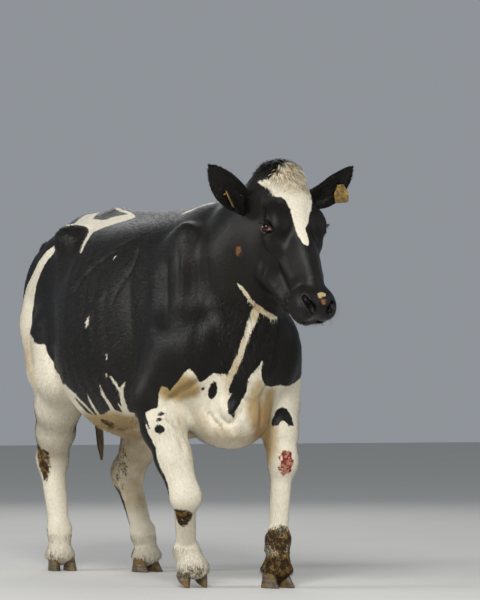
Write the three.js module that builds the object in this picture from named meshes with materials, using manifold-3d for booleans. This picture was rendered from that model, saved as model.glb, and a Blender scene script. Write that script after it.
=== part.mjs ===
// A life-size Holstein-Friesian cow, walking, as a still museum model.
// Millimetres: +x is the cow's left side, -y is ahead of it and +z is up. The soles stand on z = 0.
//
// The flesh is one smooth field of named masses: eggs for muscles, limbs for bones, and a girth that follows the
// sections of the barrel. A net of triangles is laid on that field, finer on the head and legs than on the trunk,
// and thin cuts divide it into the named parts. Ears, eyes, ear tags and claws are shapes of their own.
import * as THREE from "three";
import { LoftGeometry } from "three/addons/geometries/LoftGeometry.js";
import { mergeVertices } from "three/addons/utils/BufferGeometryUtils.js";
import Module from "manifold-3d";

const wasm = await Module();
wasm.setup();

// ---------------------------------------------------------------- driving dimensions

const GAP = 0.4; // clear space between parts that meet
const WITHERS = 1424; // height of the back over the forelegs
const HIPS = 1456; // height of the rump between the hook bones
const LEFT = 1;
const RIGHT = -1;

const HEAD_PITCH = 62; // degrees that the face slopes below level
const HEAD_TURN = 6; // degrees that the face turns to the cow's left
const POLL = [60, -1030, 1556]; // top of the head between the ears
const FACE = 598; // from the poll to the end of the muzzle

const EYE = { x: 113, down: 233, out: -59, radius: 24 };
const EAR = { length: 228, width: 110, thick: 9 };
const TAG = { width: 52, height: 58, thick: 3.4 };
const CLAW = { length: 124, width: 56, toeHeight: 76, heelHeight: 40, slope: 50 };

// ---------------------------------------------------------------- small helpers

const vec = (x, y, z) => new THREE.Vector3(x, y, z);
const onSide = (side, x, y, z) => vec(side * x, y, z);
const mix = (a, b, t) => a + (b - a) * t;
const clamp01 = (t) => Math.min(1, Math.max(0, t));
const radians = THREE.MathUtils.degToRad;

// ---------------------------------------------------------------- masses of the field

// Distance to an ellipsoid of three radii, turned by Euler angles in degrees.
function egg(centre, radii, turn = [0, 0, 0]) {
  const back = new THREE.Quaternion().setFromEuler(new THREE.Euler(...turn.map(radians), "XYZ")).invert();
  const [a, b, c] = radii;
  const q = vec(0, 0, 0);
  return (p) => {
    q.copy(p).sub(centre).applyQuaternion(back);
    const outer = Math.hypot(q.x / a, q.y / b, q.z / c);
    const slope = Math.hypot(q.x / (a * a), q.y / (b * b), q.z / (c * c));
    return slope > 1e-9 ? (outer * (outer - 1)) / slope : -Math.min(a, b, c);
  };
}

// Distance to a round bone that tapers from one radius to another.
function limb(from, to, r0, r1) {
  const along = to.clone().sub(from);
  const length2 = along.lengthSq();
  const q = vec(0, 0, 0);
  return (p) => {
    q.copy(p).sub(from);
    const t = clamp01(q.dot(along) / length2);
    return q.addScaledVector(along, -t).length() - mix(r0, r1, t);
  };
}

// A chain of limbs through points that each have a radius.
const chain = (...joints) => joints.slice(1).map(([at, r], i) => limb(joints[i][0], at, joints[i][1], r));

// A smooth curve through one column of a table of sections.
function column(table, key, place) {
  let i = 0;
  while (i < table.length - 2 && place > table[i + 1].y) i++;
  const at = (k) => table[Math.min(table.length - 1, Math.max(0, k))];
  const slope = (k) => (at(k + 1)[key] - at(k - 1)[key]) / (at(k + 1).y - at(k - 1).y);
  const span = at(i + 1).y - at(i).y;
  const t = clamp01((place - at(i).y) / span);
  const [t2, t3] = [t * t, t * t * t];
  const values = (2 * t3 - 3 * t2 + 1) * at(i)[key] + (3 * t2 - 2 * t3) * at(i + 1)[key];
  return values + span * ((t3 - 2 * t2 + t) * slope(i) + (t3 - t2) * slope(i + 1));
}

// Distance to the barrel, whose upright sections are egg shapes that change along y.
function girth(sections) {
  const first = sections[0].y;
  const last = sections[sections.length - 1].y;
  const keys = ["top", "bottom", "half", "widest", "power"];
  return (p) => {
    const y = Math.min(last, Math.max(first, p.y));
    const [top, bottom, half, widest, power] = keys.map((key) => column(sections, key, y));
    const up = p.z - widest;
    const tall = up > 0 ? top - widest : widest - bottom;
    const size = (Math.abs(p.x / half) ** power + Math.abs(up / tall) ** power) ** (1 / power);
    const round = size > 1e-6 ? Math.hypot(p.x, up) * (1 - 1 / size) : -Math.min(half, tall);
    const beyond = Math.max(first - p.y, p.y - last);
    return beyond > 0 ? Math.hypot(Math.max(round, 0), beyond) : round;
  };
}

// The union of masses, with the valleys between them filled over a width of `soft`.
function blend(soft, ...masses) {
  return (p) => {
    let d = masses[0](p);
    for (let i = 1; i < masses.length; i++) {
      const e = masses[i](p);
      const h = Math.max(soft - Math.abs(d - e), 0) / soft;
      d = Math.min(d, e) - (h * h * soft) / 4;
    }
    return d;
  };
}

// A mass with softly edged hollows pressed into it.
function hollowed(soft, mass, ...hollows) {
  return (p) => {
    let d = mass(p);
    for (const hollow of hollows) {
      const e = -hollow(p);
      const h = Math.max(soft - Math.abs(d - e), 0) / soft;
      d = Math.max(d, e) + (h * h * soft) / 4;
    }
    return d;
  };
}

// ---------------------------------------------------------------- legs: joints of the walking pose

const foreLeft = {
  name: "fore_left",
  side: LEFT,
  elbow: vec(208, -612, 775),
  knee: vec(193, -716, 464),
  fetlock: vec(173, -722, 176),
  toe: vec(168, -768, 0),
  lift: 0,
  splay: 8,
};
const foreRight = {
  name: "fore_right",
  side: RIGHT,
  elbow: vec(-262, -566, 716),
  knee: vec(-198, -704, 343),
  fetlock: vec(-131, -566, 133),
  toe: vec(-119, -606, 0),
  lift: 30,
  splay: 2,
};
const hindRight = {
  name: "hind_right",
  side: RIGHT,
  stifle: vec(-236, 450, 800),
  hock: vec(-160, 790, 462),
  fetlock: vec(-160, 700, 165),
  toe: vec(-164, 640, 0),
  lift: 0,
  splay: 8,
};
const hindLeft = {
  name: "hind_left",
  side: LEFT,
  stifle: vec(226, 410, 780),
  hock: vec(121, 660, 398),
  fetlock: vec(124, 490, 160),
  toe: vec(132, 424, 0),
  lift: 0,
  splay: 10,
};
const foreLegs = [foreLeft, foreRight];
const hindLegs = [hindLeft, hindRight];

// The middle of the foot where skin meets horn. A lifted heel turns the foot about its toe.
function coronet(leg) {
  const [back, up] = [44, 72];
  const lift = radians(leg.lift);
  const behind = back * Math.cos(lift) - up * Math.sin(lift);
  const above = back * Math.sin(lift) + up * Math.cos(lift);
  return leg.toe.clone().add(vec(0, behind, above));
}

// Places along the cannon bone: t runs from the knee or hock to the fetlock, and `behind` is at right angles.
function cannonOf(leg) {
  const from = leg.knee ?? leg.hock;
  const shin = leg.fetlock.clone().sub(from).normalize();
  const back = vec(0, 1, 0).addScaledVector(shin, -shin.y).normalize();
  return { back, shin, at: (t, behind = 0) => from.clone().lerp(leg.fetlock, t).addScaledVector(back, behind) };
}

const foot = (leg, at) => [
  egg(at(1, 8), [46, 45, 44]), // fetlock
  limb(leg.fetlock, coronet(leg).add(vec(0, 4, 0)), 41, 47), // pastern
  egg(coronet(leg).add(vec(0, 8, -4)), [56, 56, 32], [leg.lift, 0, 0]), // coronet
];

function foreLegMasses(leg) {
  const { elbow, knee } = leg;
  const { at } = cannonOf(leg);
  const between = (t, y = 0) => elbow.clone().lerp(knee, t).add(vec(0, y, 0));
  return [
    ...chain([between(0, 6), 82], [between(0.3, 2), 84], [between(0.62), 68], [knee, 53]), // forearm
    egg(between(0.26, 26), [64, 62, 110], [12, 0, 0]), // muscle behind the forearm
    egg(at(-0.02, -6), [56, 50, 60]), // knee
    egg(at(0.04, 34), [27, 24, 32]), // bone behind the knee
    limb(at(0.08, 4), at(0.92, 4), 41, 35), // cannon
    limb(at(0.14, 28), at(0.86, 27), 20, 21), // sinews
    ...foot(leg, at),
  ];
}

// The point of the hock, where the hamstring ends.
const hockPoint = (leg) => leg.hock.clone().addScaledVector(cannonOf(leg).back, 74).add(vec(0, 0, 56));

function hindLegMasses(leg) {
  const { stifle, hock } = leg;
  const { at } = cannonOf(leg);
  const between = (t, y = 0, z = 0) => stifle.clone().lerp(hock, t).add(vec(0, y, z));
  const point = hockPoint(leg);
  return [
    ...chain([between(0, 20), 98], [between(0.35, 18), 96], [between(0.68, 10), 78], [hock, 60]), // gaskin
    ...chain([between(0.24, 140, 80), 72], [between(0.6, 100, 74), 56], [point, 27]), // hamstring
    egg(between(0.66, 50, 40), [56, 74, 96], [30, 0, 0]), // between gaskin and hamstring
    egg(hock, [66, 74, 80]), // hock
    egg(point, [28, 28, 40]),
    limb(at(0.02, 44), at(0.46, 26), 34, 24),
    limb(at(0.06, 6), at(0.92, 4), 52, 42), // cannon
    limb(at(0.2, 34), at(0.86, 32), 26, 25), // sinews
    ...foot(leg, at),
  ];
}

// ---------------------------------------------------------------- trunk

const barrelSections = [
  { y: -850, top: 1080, bottom: 720, half: 70, widest: 880, power: 2.0 },
  { y: -800, top: 1200, bottom: 640, half: 130, widest: 880, power: 2.0 },
  { y: -720, top: 1330, bottom: 590, half: 180, widest: 890, power: 2.1 },
  { y: -580, top: WITHERS, bottom: 570, half: 232, widest: 890, power: 2.15 },
  { y: -380, top: WITHERS - 6, bottom: 580, half: 300, widest: 885, power: 2.2 },
  { y: -120, top: WITHERS - 8, bottom: 548, half: 358, widest: 890, power: 2.25 },
  { y: 120, top: HIPS - 36, bottom: 545, half: 376, widest: 905, power: 2.3 },
  { y: 310, top: HIPS - 18, bottom: 600, half: 334, widest: 960, power: 2.3 },
  { y: 480, top: HIPS - 2, bottom: 720, half: 272, widest: 1100, power: 2.3 },
  { y: 660, top: HIPS - 6, bottom: 830, half: 238, widest: 1160, power: 2.2 },
  { y: 810, top: HIPS - 20, bottom: 900, half: 190, widest: 1220, power: 2.1 },
  { y: 890, top: HIPS - 60, bottom: 1010, half: 120, widest: 1230, power: 2.0 },
  { y: 930, top: HIPS - 130, bottom: 1080, half: 54, widest: 1230, power: 2.0 },
];

// Muscles and bone points of one side of the forehand.
const shoulder = ({ side, elbow }) => [
  egg(onSide(side, 160, -560, 1120), [72, 130, 260], [20, 0, side * -4]), // shoulder blade
  egg(onSide(side, 178, -690, 890), [74, 105, 160], [-24, 0, 0]), // upper arm
  egg(onSide(side, 150, -768, 925), [62, 60, 90], [10, 0, 0]), // point of the shoulder
  egg(onSide(side, 200, -560, 860), [76, 118, 150], [0, 0, 0]), // triceps
  limb(onSide(side, 186, -610, 880), elbow, 104, 92),
];

// Muscles and bone points of one side of the hindquarters.
const haunch = (leg) => {
  const { side, stifle, hock } = leg;
  const ham = stifle.clone().lerp(hock, 0.2).add(vec(0, 150, 90));
  return [
    egg(onSide(side, 222, 420, 1344), [58, 84, 58], [0, 0, side * -14]), // hook bone
    egg(onSide(side, 126, 906, 1308), [50, 48, 56]), // pin bone
    egg(onSide(side, 184, 640, 1130), [98, 200, 230], [10, 0, 0]), // thigh
    egg(onSide(side, 182, 810, 1080), [92, 116, 230], [-4, 0, 0]), // back of the thigh
    egg(onSide(side, 196, 530, 930), [98, 150, 170], [-30, 0, 0]), // front of the thigh
    limb(onSide(side, 186, 790, 1000), ham, 106, 92),
    limb(onSide(side, 202, 560, 960), stifle, 132, 118),
    limb(stifle.clone().add(vec(0, -60, 10)), onSide(side, 262, 300, 900), 34, 26), // flank fold
  ];
};

const breast = [
  limb(vec(0, -750, 980), vec(0, -700, 680), 126, 104), // breast
  egg(vec(-14, -706, 628), [92, 130, 90], [-10, 0, 0]), // brisket
  egg(vec(0, -660, 612), [112, 150, 66], [-4, 0, 0]),
];
const spineRidge = chain(
  [vec(0, -590, WITHERS - 46), 44],
  [vec(0, -200, WITHERS - 56), 46],
  [vec(0, 420, HIPS - 44), 46],
  [vec(0, 760, HIPS - 58), 46],
);
const tailHead = chain([vec(0, 760, HIPS - 54), 50], [vec(0, 925, HIPS - 72), 38]);

const flankHollow = (side) => egg(onSide(side, 372, 322, 1262), [84, 105, 110], [0, 0, side * -20]);

const trunkField = hollowed(
  70,
  blend(
    80,
    girth(barrelSections),
    blend(90, ...breast, ...shoulder(foreLeft), ...shoulder(foreRight)),
    blend(60, ...haunch(hindLeft)),
    blend(60, ...haunch(hindRight)),
    blend(40, ...spineRidge, ...tailHead),
  ),
  flankHollow(LEFT),
  flankHollow(RIGHT),
);

// ---------------------------------------------------------------- head, in its own frame

// In the head's frame the poll is the origin, -y runs down the face and z points out of the forehead.
const headTurn = new THREE.Euler(radians(HEAD_PITCH), 0, radians(HEAD_TURN), "ZYX");
const headFrame = new THREE.Matrix4().compose(
  vec(...POLL),
  new THREE.Quaternion().setFromEuler(headTurn),
  vec(1, 1, 1),
);
const toHead = headFrame.clone().invert();
const face = (x, down, out) => vec(x, -down, out);
const headPoint = (x, down, out) => face(x, down, out).applyMatrix4(headFrame);

const headSide = (side) => [
  egg(face(side * 85, 218, -32), [42, 60, 34], [0, side * 14, 0]), // brow over the eye
  egg(face(side * 82, 270, -78), [36, 48, 34]), // cheekbone under the eye
  egg(face(side * 62, 246, -156), [48, 112, 96], [-14, 0, 0]), // cheek muscle
  limb(face(side * 50, 284, -79), face(side * 39, 430, -73), 34, 29), // side of the face
  ...chain([face(side * 58, 190, -224), 42], [face(side * 50, 330, -206), 46], [face(side * 32, 480, -158), 38]),
  egg(face(side * 45, 552, -58), [36, 56, 44]), // wing of the nostril
  egg(face(side * 38, 530, -106), [38, 62, 36]), // upper lip
  egg(face(side * 84, 84, -104), [40, 46, 46]), // root of the ear
];
const headField = (() => {
  const masses = blend(
    34,
    egg(face(0, 34, -48), [76, 52, 52]), // poll
    limb(face(0, 60, -76), face(0, 170, -84), 82, 88), // brain case
    egg(face(0, 140, -44), [98, 104, 44]), // forehead
    ...chain([face(0, 210, -72), 74], [face(0, 350, -70), 57], [face(0, 490, -68), 56]), // face
    limb(face(0, 210, -38), face(0, 460, -36), 42, 34), // bridge of the nose
    egg(face(0, FACE - 58, -66), [58, 58, 56]), // muzzle
    limb(face(0, 290, -160), face(0, 470, -136), 74, 48), // lower jaw
    egg(face(0, 522, -142), [46, 66, 34], [-8, 0, 0]), // chin
    ...headSide(LEFT),
    ...headSide(RIGHT),
  );
  const q = vec(0, 0, 0);
  return (p) => masses(q.copy(p).applyMatrix4(toHead));
})();

// ---------------------------------------------------------------- neck

const neckField = blend(
  90,
  ...chain([vec(0, -540, 1316), 94], [vec(18, -780, 1372), 80], [headPoint(0, 30, -96), 74]), // crest
  ...chain([vec(0, -620, 1150), 190], [vec(18, -780, 1230), 150], [headPoint(0, 90, -150), 104]), // middle
  ...chain([vec(0, -700, 960), 140], [vec(20, -810, 1110), 112], [headPoint(0, 190, -236), 72]), // underside
);
const throat = chain([headPoint(0, 160, -226), 80], [headPoint(0, 300, -236), 62], [headPoint(0, 430, -178), 44]);
const dewlap = chain([headPoint(0, 270, -262), 40], [vec(24, -860, 990), 40], [vec(0, -820, 800), 60]);

const bodyField = blend(60, trunkField, blend(50, neckField, blend(40, ...dewlap)), blend(36, headField, ...throat));

// ---------------------------------------------------------------- udder and tail

const udderField = blend(
  40,
  egg(vec(-4, 480, 725), [106, 150, 96], [6, 0, 0]),
  egg(vec(-2, 330, 700), [88, 120, 62]),
);
const TEAT = { radius: 12, length: 46, from: 652 };
const teatPlaces = [
  [46, 420],
  [-42, 424],
  [42, 540],
  [-38, 542],
];

// Points down the middle of the tail, each with its radius.
const tailLine = [
  [vec(0, 880, HIPS - 76), 40],
  [vec(2, 950, HIPS - 104), 34],
  [vec(8, 984, HIPS - 210), 27],
  [vec(34, 990, 1040), 22],
  [vec(74, 980, 850), 19],
  [vec(98, 972, 730), 17],
];
const switchLine = [
  [vec(98, 972, 730), 18],
  [vec(106, 968, 670), 32],
  [vec(116, 964, 580), 38],
  [vec(122, 960, 500), 27],
  [vec(126, 958, 442), 7],
];

// ---------------------------------------------------------------- a net of triangles on a field

// A closed net on the surface of a field inside a box. Each cell that the surface crosses has one vertex, which
// slides to the surface; a few rounds of relaxing even the net out. `grow` then moves every vertex outwards.
function skinOn(field, low, high, cell, grow = 0) {
  const size = high.map((h, i) => Math.max(2, Math.round((h - low[i]) / cell[i])));
  const step = size.map((n, i) => (high[i] - low[i]) / n);
  const wrapped = (p) => Math.max(field(p), ...walls(p));
  const walls = (p) => [low[0] - p.x, p.x - high[0], low[1] - p.y, p.y - high[1], low[2] - p.z, p.z - high[2]];
  const [nx, ny, nz] = size.map((n) => n + 3);
  const index = (i, j, k) => i + nx * (j + ny * k);
  const corner = (i, j, k) => vec(low[0] + (i - 1) * step[0], low[1] + (j - 1) * step[1], low[2] + (k - 1) * step[2]);
  const value = new Float64Array(nx * ny * nz);
  for (let k = 0; k < nz; k++)
    for (let j = 0; j < ny; j++) for (let i = 0; i < nx; i++) value[index(i, j, k)] = wrapped(corner(i, j, k));

  const points = [];
  const vertexOf = new Map();
  const axes = [
    [1, 0, 0],
    [0, 1, 0],
    [0, 0, 1],
  ];
  for (let k = 0; k < nz - 1; k++)
    for (let j = 0; j < ny - 1; j++)
      for (let i = 0; i < nx - 1; i++) {
        const sum = vec(0, 0, 0);
        let count = 0;
        for (const [a, axis] of axes.entries())
          for (const u of [0, 1])
            for (const w of [0, 1]) {
              const start = [i, j, k];
              start[(a + 1) % 3] += u;
              start[(a + 2) % 3] += w;
              const end = start.map((s, n) => s + axis[n]);
              const [v0, v1] = [value[index(...start)], value[index(...end)]];
              if (v0 < 0 === v1 < 0) continue;
              sum.add(corner(...start).lerp(corner(...end), v0 / (v0 - v1)));
              count++;
            }
        if (!count) continue;
        vertexOf.set(index(i, j, k), points.length);
        points.push(sum.divideScalar(count));
      }

  const quads = [];
  for (let k = 1; k < nz - 1; k++)
    for (let j = 1; j < ny - 1; j++)
      for (let i = 1; i < nx - 1; i++)
        for (const [a, axis] of axes.entries()) {
          const here = value[index(i, j, k)] < 0;
          const there = value[index(i + axis[0], j + axis[1], k + axis[2])] < 0;
          if (here === there) continue;
          const around = [
            [0, 0],
            [-1, 0],
            [-1, -1],
            [0, -1],
          ].map(([u, w]) => {
            const c = [i, j, k];
            c[(a + 1) % 3] += u;
            c[(a + 2) % 3] += w;
            return vertexOf.get(index(...c));
          });
          quads.push(here ? around : around.reverse());
        }

  settle(points, quads, wrapped, Math.min(...step));
  return netGeometry(points, quads, grow);
}

// Slides the vertices of a net to the surface of a field, and evens out the spacing between them.
function settle(points, quads, field, reach) {
  const EPSILON = 0.5;
  const ROUNDS = 4;
  const neighbours = points.map(() => new Set());
  for (const quad of quads)
    quad.forEach((v, n) => {
      neighbours[v].add(quad[(n + 1) % 4]);
      neighbours[quad[(n + 1) % 4]].add(v);
    });
  const probe = (p, axis, h) => field(p.clone().setComponent(axis, p.getComponent(axis) + h));
  const toSurface = (p) => {
    for (let n = 0; n < 3; n++) {
      const slope = vec(...[0, 1, 2].map((axis) => probe(p, axis, EPSILON) - probe(p, axis, -EPSILON)));
      slope.divideScalar(2 * EPSILON);
      const steep = Math.max(slope.lengthSq(), 0.25);
      const move = THREE.MathUtils.clamp(-field(p) / steep, -reach, reach);
      p.addScaledVector(slope, move);
    }
  };
  for (let round = 0; round < ROUNDS; round++) {
    const even = points.map((p, v) => {
      const mean = vec(0, 0, 0);
      for (const n of neighbours[v]) mean.add(points[n]);
      return p.clone().lerp(mean.divideScalar(neighbours[v].size), 0.5);
    });
    even.forEach((p, v) => {
      toSurface(p);
      points[v].copy(p);
    });
  }
}

// Triangles over a net of quads, each quad divided along its shorter diagonal, moved out along the normals.
function netGeometry(points, quads, grow) {
  const triangles = quads.flatMap(([a, b, c, d]) =>
    points[a].distanceTo(points[c]) < points[b].distanceTo(points[d]) ? [a, b, c, a, c, d] : [a, b, d, b, c, d],
  );
  const net = new THREE.BufferGeometry().setFromPoints(points).setIndex(triangles);
  net.computeVertexNormals();
  const { position, normal } = net.attributes;
  const [p, n] = [vec(0, 0, 0), vec(0, 0, 0)];
  for (let v = 0; v < position.count; v++) {
    p.fromBufferAttribute(position, v).addScaledVector(n.fromBufferAttribute(normal, v), grow);
    position.setXYZ(v, p.x, p.y, p.z);
  }
  return net;
}

// ---------------------------------------------------------------- solids

function solid(geometry) {
  const bare = geometry.index ? geometry.toNonIndexed() : geometry.clone();
  for (const name of Object.keys(bare.attributes)) if (name !== "position") bare.deleteAttribute(name);
  const merged = mergeVertices(bare, 1e-3);
  return new wasm.Manifold(
    new wasm.Mesh({
      numProp: 3,
      vertProperties: merged.attributes.position.array,
      triVerts: new Uint32Array(merged.index.array),
    }),
  );
}

function geometryOf(made) {
  const mesh = made.getMesh();
  return new THREE.BufferGeometry()
    .setAttribute("position", new THREE.BufferAttribute(mesh.vertProperties, 3))
    .setIndex(new THREE.BufferAttribute(mesh.triVerts, 1));
}

// A block that fills a box ahead of a cut, in the direction of `way`. `gap` moves its face back over the cut.
function block({ at, way, wide = 1200, deep = 1200 }, gap) {
  const made = new THREE.BoxGeometry(wide, wide, deep).translate(0, 0, deep / 2 - gap / 2);
  const turn = new THREE.Quaternion().setFromUnitVectors(vec(0, 0, 1), way.clone().normalize());
  return solid(made.applyQuaternion(turn).translate(at.x, at.y, at.z));
}
const before = (made, cut) => made.subtract(block(cut, GAP)); // what a cut leaves behind it
const beyond = (made, cut) => made.intersect(block(cut, -GAP)); // what it leaves ahead of it

// ---------------------------------------------------------------- cuts between the parts

const neckCut = { at: vec(0, -742, 1180), way: vec(0, -0.86, 0.5), wide: 1400 };
const headCut = { at: vec(50, -915, 1050), way: vec(0.06, -1, -0.03), wide: 1500 };
const kneeCut = (leg) => {
  const joint = leg.knee ?? leg.hock;
  return { at: joint.clone().lerp(leg.fetlock, 0.16), way: leg.fetlock.clone().sub(joint) };
};

// ---------------------------------------------------------------- flesh

// Sizes of a net's cells along x, y and z.
const TRUNK_NET = [80, 86, 78];
const NECK_NET = [58, 58, 58];
const HEAD_NET = [34, 34, 34];
const UPPER_LEG_NET = [42, 48, 64];
const LOWER_LEG_NET = [32, 35, 66];
const UDDER_NET = [66, 72, 58];

const legMasses = (leg) => (leg.elbow ? foreLegMasses(leg) : hindLegMasses(leg));

function trunk(grow = 0) {
  const made = solid(skinOn(bodyField, [-420, -1010, 480], [420, 990, 1560], TRUNK_NET, grow));
  return grow ? made : before(made, neckCut);
}

function neck() {
  const made = solid(skinOn(bodyField, [-300, -1190, 820], [340, -560, 1640], NECK_NET));
  return before(beyond(made, neckCut), headCut);
}

function head(grow = 0) {
  const middle = headPoint(0, 200, -100);
  const [low, high] = [middle.clone().addScalar(-400), middle.clone().addScalar(400)];
  const made = solid(skinOn(bodyField, [middle.x - 190, low.y, low.z], [middle.x + 190, high.y, high.z], HEAD_NET, grow));
  if (grow) return made;
  return [LEFT, RIGHT].reduce((rest, side) => rest.subtract(eye(side, GAP)), beyond(made, headCut));
}

// The upper and lower length of a leg. Its top follows the underside of the trunk.
function leg(which, trunkSpace) {
  const upper = which.elbow ?? which.stifle;
  const middle = which.knee ?? which.hock;
  const field = blend(28, ...legMasses(which));
  const xs = [upper.x, middle.x, which.toe.x];
  const ys = [upper.y, middle.y, which.toe.y, which.fetlock.y];
  const low = [Math.min(...xs) - 160, Math.min(...ys) - 160, 20];
  const high = [Math.max(...xs) + 160, Math.max(...ys) + 260, upper.z + 40];
  const highest = [high[0], high[1], middle.z + 60];
  const lowest = [low[0], low[1], middle.z - 160];
  const top = before(solid(skinOn(field, lowest, high, UPPER_LEG_NET)), kneeCut(which));
  const bottom = beyond(solid(skinOn(field, low, highest, LOWER_LEG_NET)), kneeCut(which));
  return { upper: top.subtract(trunkSpace), lower: bottom };
}

function udder(trunkSpace) {
  let made = solid(skinOn(udderField, [-180, 170, 560], [190, 680, 860], UDDER_NET)).subtract(trunkSpace);
  for (const [x, y] of teatPlaces) {
    const teat = new THREE.CapsuleGeometry(TEAT.radius, TEAT.length, 2, 8).rotateX(Math.PI / 2);
    made = made.add(solid(teat.translate(x, y, TEAT.from - TEAT.length / 2)));
  }
  return made;
}

// A closed tube whose middle line and radius are given point by point.
function taperedTube(line, rings, sides) {
  const curve = new THREE.CatmullRomCurve3(line.map(([at]) => at));
  const radius = (t) => {
    const place = t * (line.length - 1);
    const i = Math.min(line.length - 2, Math.floor(place));
    return mix(line[i][1], line[i + 1][1], place - i);
  };
  const sections = Array.from({ length: rings }, (_, r) => {
    const t = r / (rings - 1);
    const centre = curve.getPoint(t);
    const across = vec(1, 0, 0);
    const out = curve.getTangent(t).cross(across).normalize();
    return Array.from({ length: sides }, (_, k) => {
      const turn = (k / sides) * 2 * Math.PI;
      return centre
        .clone()
        .addScaledVector(across, radius(t) * Math.cos(turn))
        .addScaledVector(out, radius(t) * Math.sin(turn));
    });
  });
  return solid(new LoftGeometry(sections, { capStart: true, capEnd: true }));
}
const tailCut = { at: switchLine[0][0], way: vec(0.12, 0, -1) };

// ---------------------------------------------------------------- claws and dewclaws

// One claw: a flat sole, a curved outer wall, a flatter inner wall and a sloping coronet.
function clawGeometry(outward, grow) {
  const SIDES = 10;
  const levels = [0, 0.45, 1];
  const sections = levels.map((level) => {
    const length = mix(CLAW.length, CLAW.length * 0.7, level) / 2 + grow;
    const width = mix(CLAW.width, CLAW.width * 0.86, level) / 2 + grow;
    return Array.from({ length: SIDES }, (_, k) => {
      const turn = (k / SIDES) * 2 * Math.PI;
      const [c, s] = [Math.cos(turn), Math.sin(turn)];
      const toeward = c > 0 ? c ** 1.15 : -(Math.abs(c) ** 0.8);
      const height = mix(CLAW.heelHeight, CLAW.toeHeight, (toeward + 1) / 2) + grow;
      const setBack = (level * height) / Math.tan(radians(CLAW.slope)) * ((toeward + 1) / 2) * 0.72;
      const narrow = toeward > 0 ? 1 - 0.42 * toeward ** 2.4 : 1;
      const bulge = s * outward > 0 ? 1 : 0.8;
      return vec(width * s * bulge * narrow, -length * toeward + setBack, level * height - (level ? 0 : grow));
    });
  });
  return new LoftGeometry(sections, { capStart: true, capEnd: true });
}

function claw(leg, which, grow = 0) {
  const place = new THREE.Matrix4()
    .makeTranslation(leg.toe.x, leg.toe.y, 0)
    .multiply(new THREE.Matrix4().makeRotationZ(radians(leg.splay * leg.side)))
    .multiply(new THREE.Matrix4().makeRotationX(radians(leg.lift)))
    .multiply(new THREE.Matrix4().makeTranslation(which * 31, CLAW.length / 2 - 30, 0))
    .multiply(new THREE.Matrix4().makeRotationZ(radians(which * 4)));
  const shape = clawGeometry(which, grow).applyMatrix4(place);
  shape.computeBoundingBox();
  const worn = leg.lift ? 5 : 0; // how much of a tipped toe is worn flat on the floor
  shape.translate(0, 0, -shape.boundingBox.min.z - worn - grow);
  const made = solid(shape);
  return leg.lift && !grow ? before(made, { at: vec(leg.toe.x, leg.toe.y, -GAP / 2), way: vec(0, 0, -1) }) : made;
}

function dewclaw(leg, which, grow = 0) {
  const { back, shin, at } = cannonOf(leg);
  const centre = at(1, 44).addScaledVector(shin, 30).add(vec(which * 24, 0, 0));
  const tip = back.clone().multiplyScalar(0.7).addScaledVector(shin, 0.9).normalize();
  const cone = new THREE.CylinderGeometry(9 + grow, 17 + grow, 34 + 2 * grow, 6, 1);
  cone.applyQuaternion(new THREE.Quaternion().setFromUnitVectors(vec(0, 1, 0), tip));
  return solid(cone.translate(centre.x, centre.y, centre.z));
}

// ---------------------------------------------------------------- ears, eyes and ear tags

function eye(side, grow = 0) {
  const centre = headPoint(side * EYE.x, EYE.down, EYE.out);
  return solid(new THREE.SphereGeometry(EYE.radius + grow, 9, 6).translate(centre.x, centre.y, centre.z));
}

// The two ears: where each grows, which way it points, which way its hollow faces and how far its middle droops.
const ears = {
  [LEFT]: { root: headPoint(106, 80, -110), way: vec(0.85, -0.25, 0.58), hollow: vec(-0.1, -0.85, -0.5), droop: 28 },
  [RIGHT]: { root: headPoint(-112, 110, -136), way: vec(-0.73, -0.08, 0.68), hollow: vec(-0.3, -0.95, -0.1), droop: 9 },
};

// An ear's own frame: x runs from root to tip, y across the leaf to its upper edge and z out of its hollow.
function earFrame(side) {
  const { root, way, hollow } = ears[side];
  const x = way.clone().normalize();
  const z = hollow.clone().addScaledVector(x, -hollow.dot(x)).normalize();
  const y = z.clone().cross(x);
  return new THREE.Matrix4().makeBasis(x, y, z).setPosition(root);
}

// How far an ear's middle line droops below the straight way from root to tip.
const earDroop = (side, t) => -side * ears[side].droop * Math.sin(Math.PI * t);

// A leaf that is nearly a tube at the root, widens, and comes to a rounded tip.
function earGeometry(side) {
  const ROWS = 7;
  const ACROSS = 5;
  const sections = Array.from({ length: ROWS }, (_, r) => {
    const t = r / (ROWS - 1);
    const half = (EAR.width / 2) * Math.sin(Math.PI * (0.17 + 0.8 * t ** 1.15)) ** 0.8;
    const curl = radians(mix(230, 80, clamp01(t * 1.7))); // arc that the leaf takes across
    const thick = mix(EAR.thick * 1.6, EAR.thick * 0.6, t);
    const radius = curl > Math.PI ? half : half / Math.sin(curl / 2);
    const arc = (k, inset) => {
      const turn = curl * (k / (ACROSS - 1) - 0.5);
      const lift = radius - (radius - inset) * Math.cos(turn);
      const across = (radius - inset) * Math.sin(turn) + earDroop(side, t);
      return vec(EAR.length * t, across, lift - 30 * (1 - t) - 10 * t);
    };
    const back = Array.from({ length: ACROSS }, (_, k) => arc(k, 0));
    const front = Array.from({ length: ACROSS }, (_, k) => arc(ACROSS - 1 - k, thick));
    return [...back, ...front];
  });
  return new LoftGeometry(sections, { capStart: true, capEnd: true });
}

// Where each tag is pinned, as parts of the ear's length and width, which way its plate faces and how it hangs.
const tags = {
  [LEFT]: { along: 0.67, below: 0.2, facing: vec(-0.3, -0.9, -0.1), hangs: vec(0.1, 0, -1) },
  [RIGHT]: { along: 0.47, below: 0.2, facing: vec(0.78, -0.48, 0.42), hangs: vec(0.38, -0.17, -0.91) },
};

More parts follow.
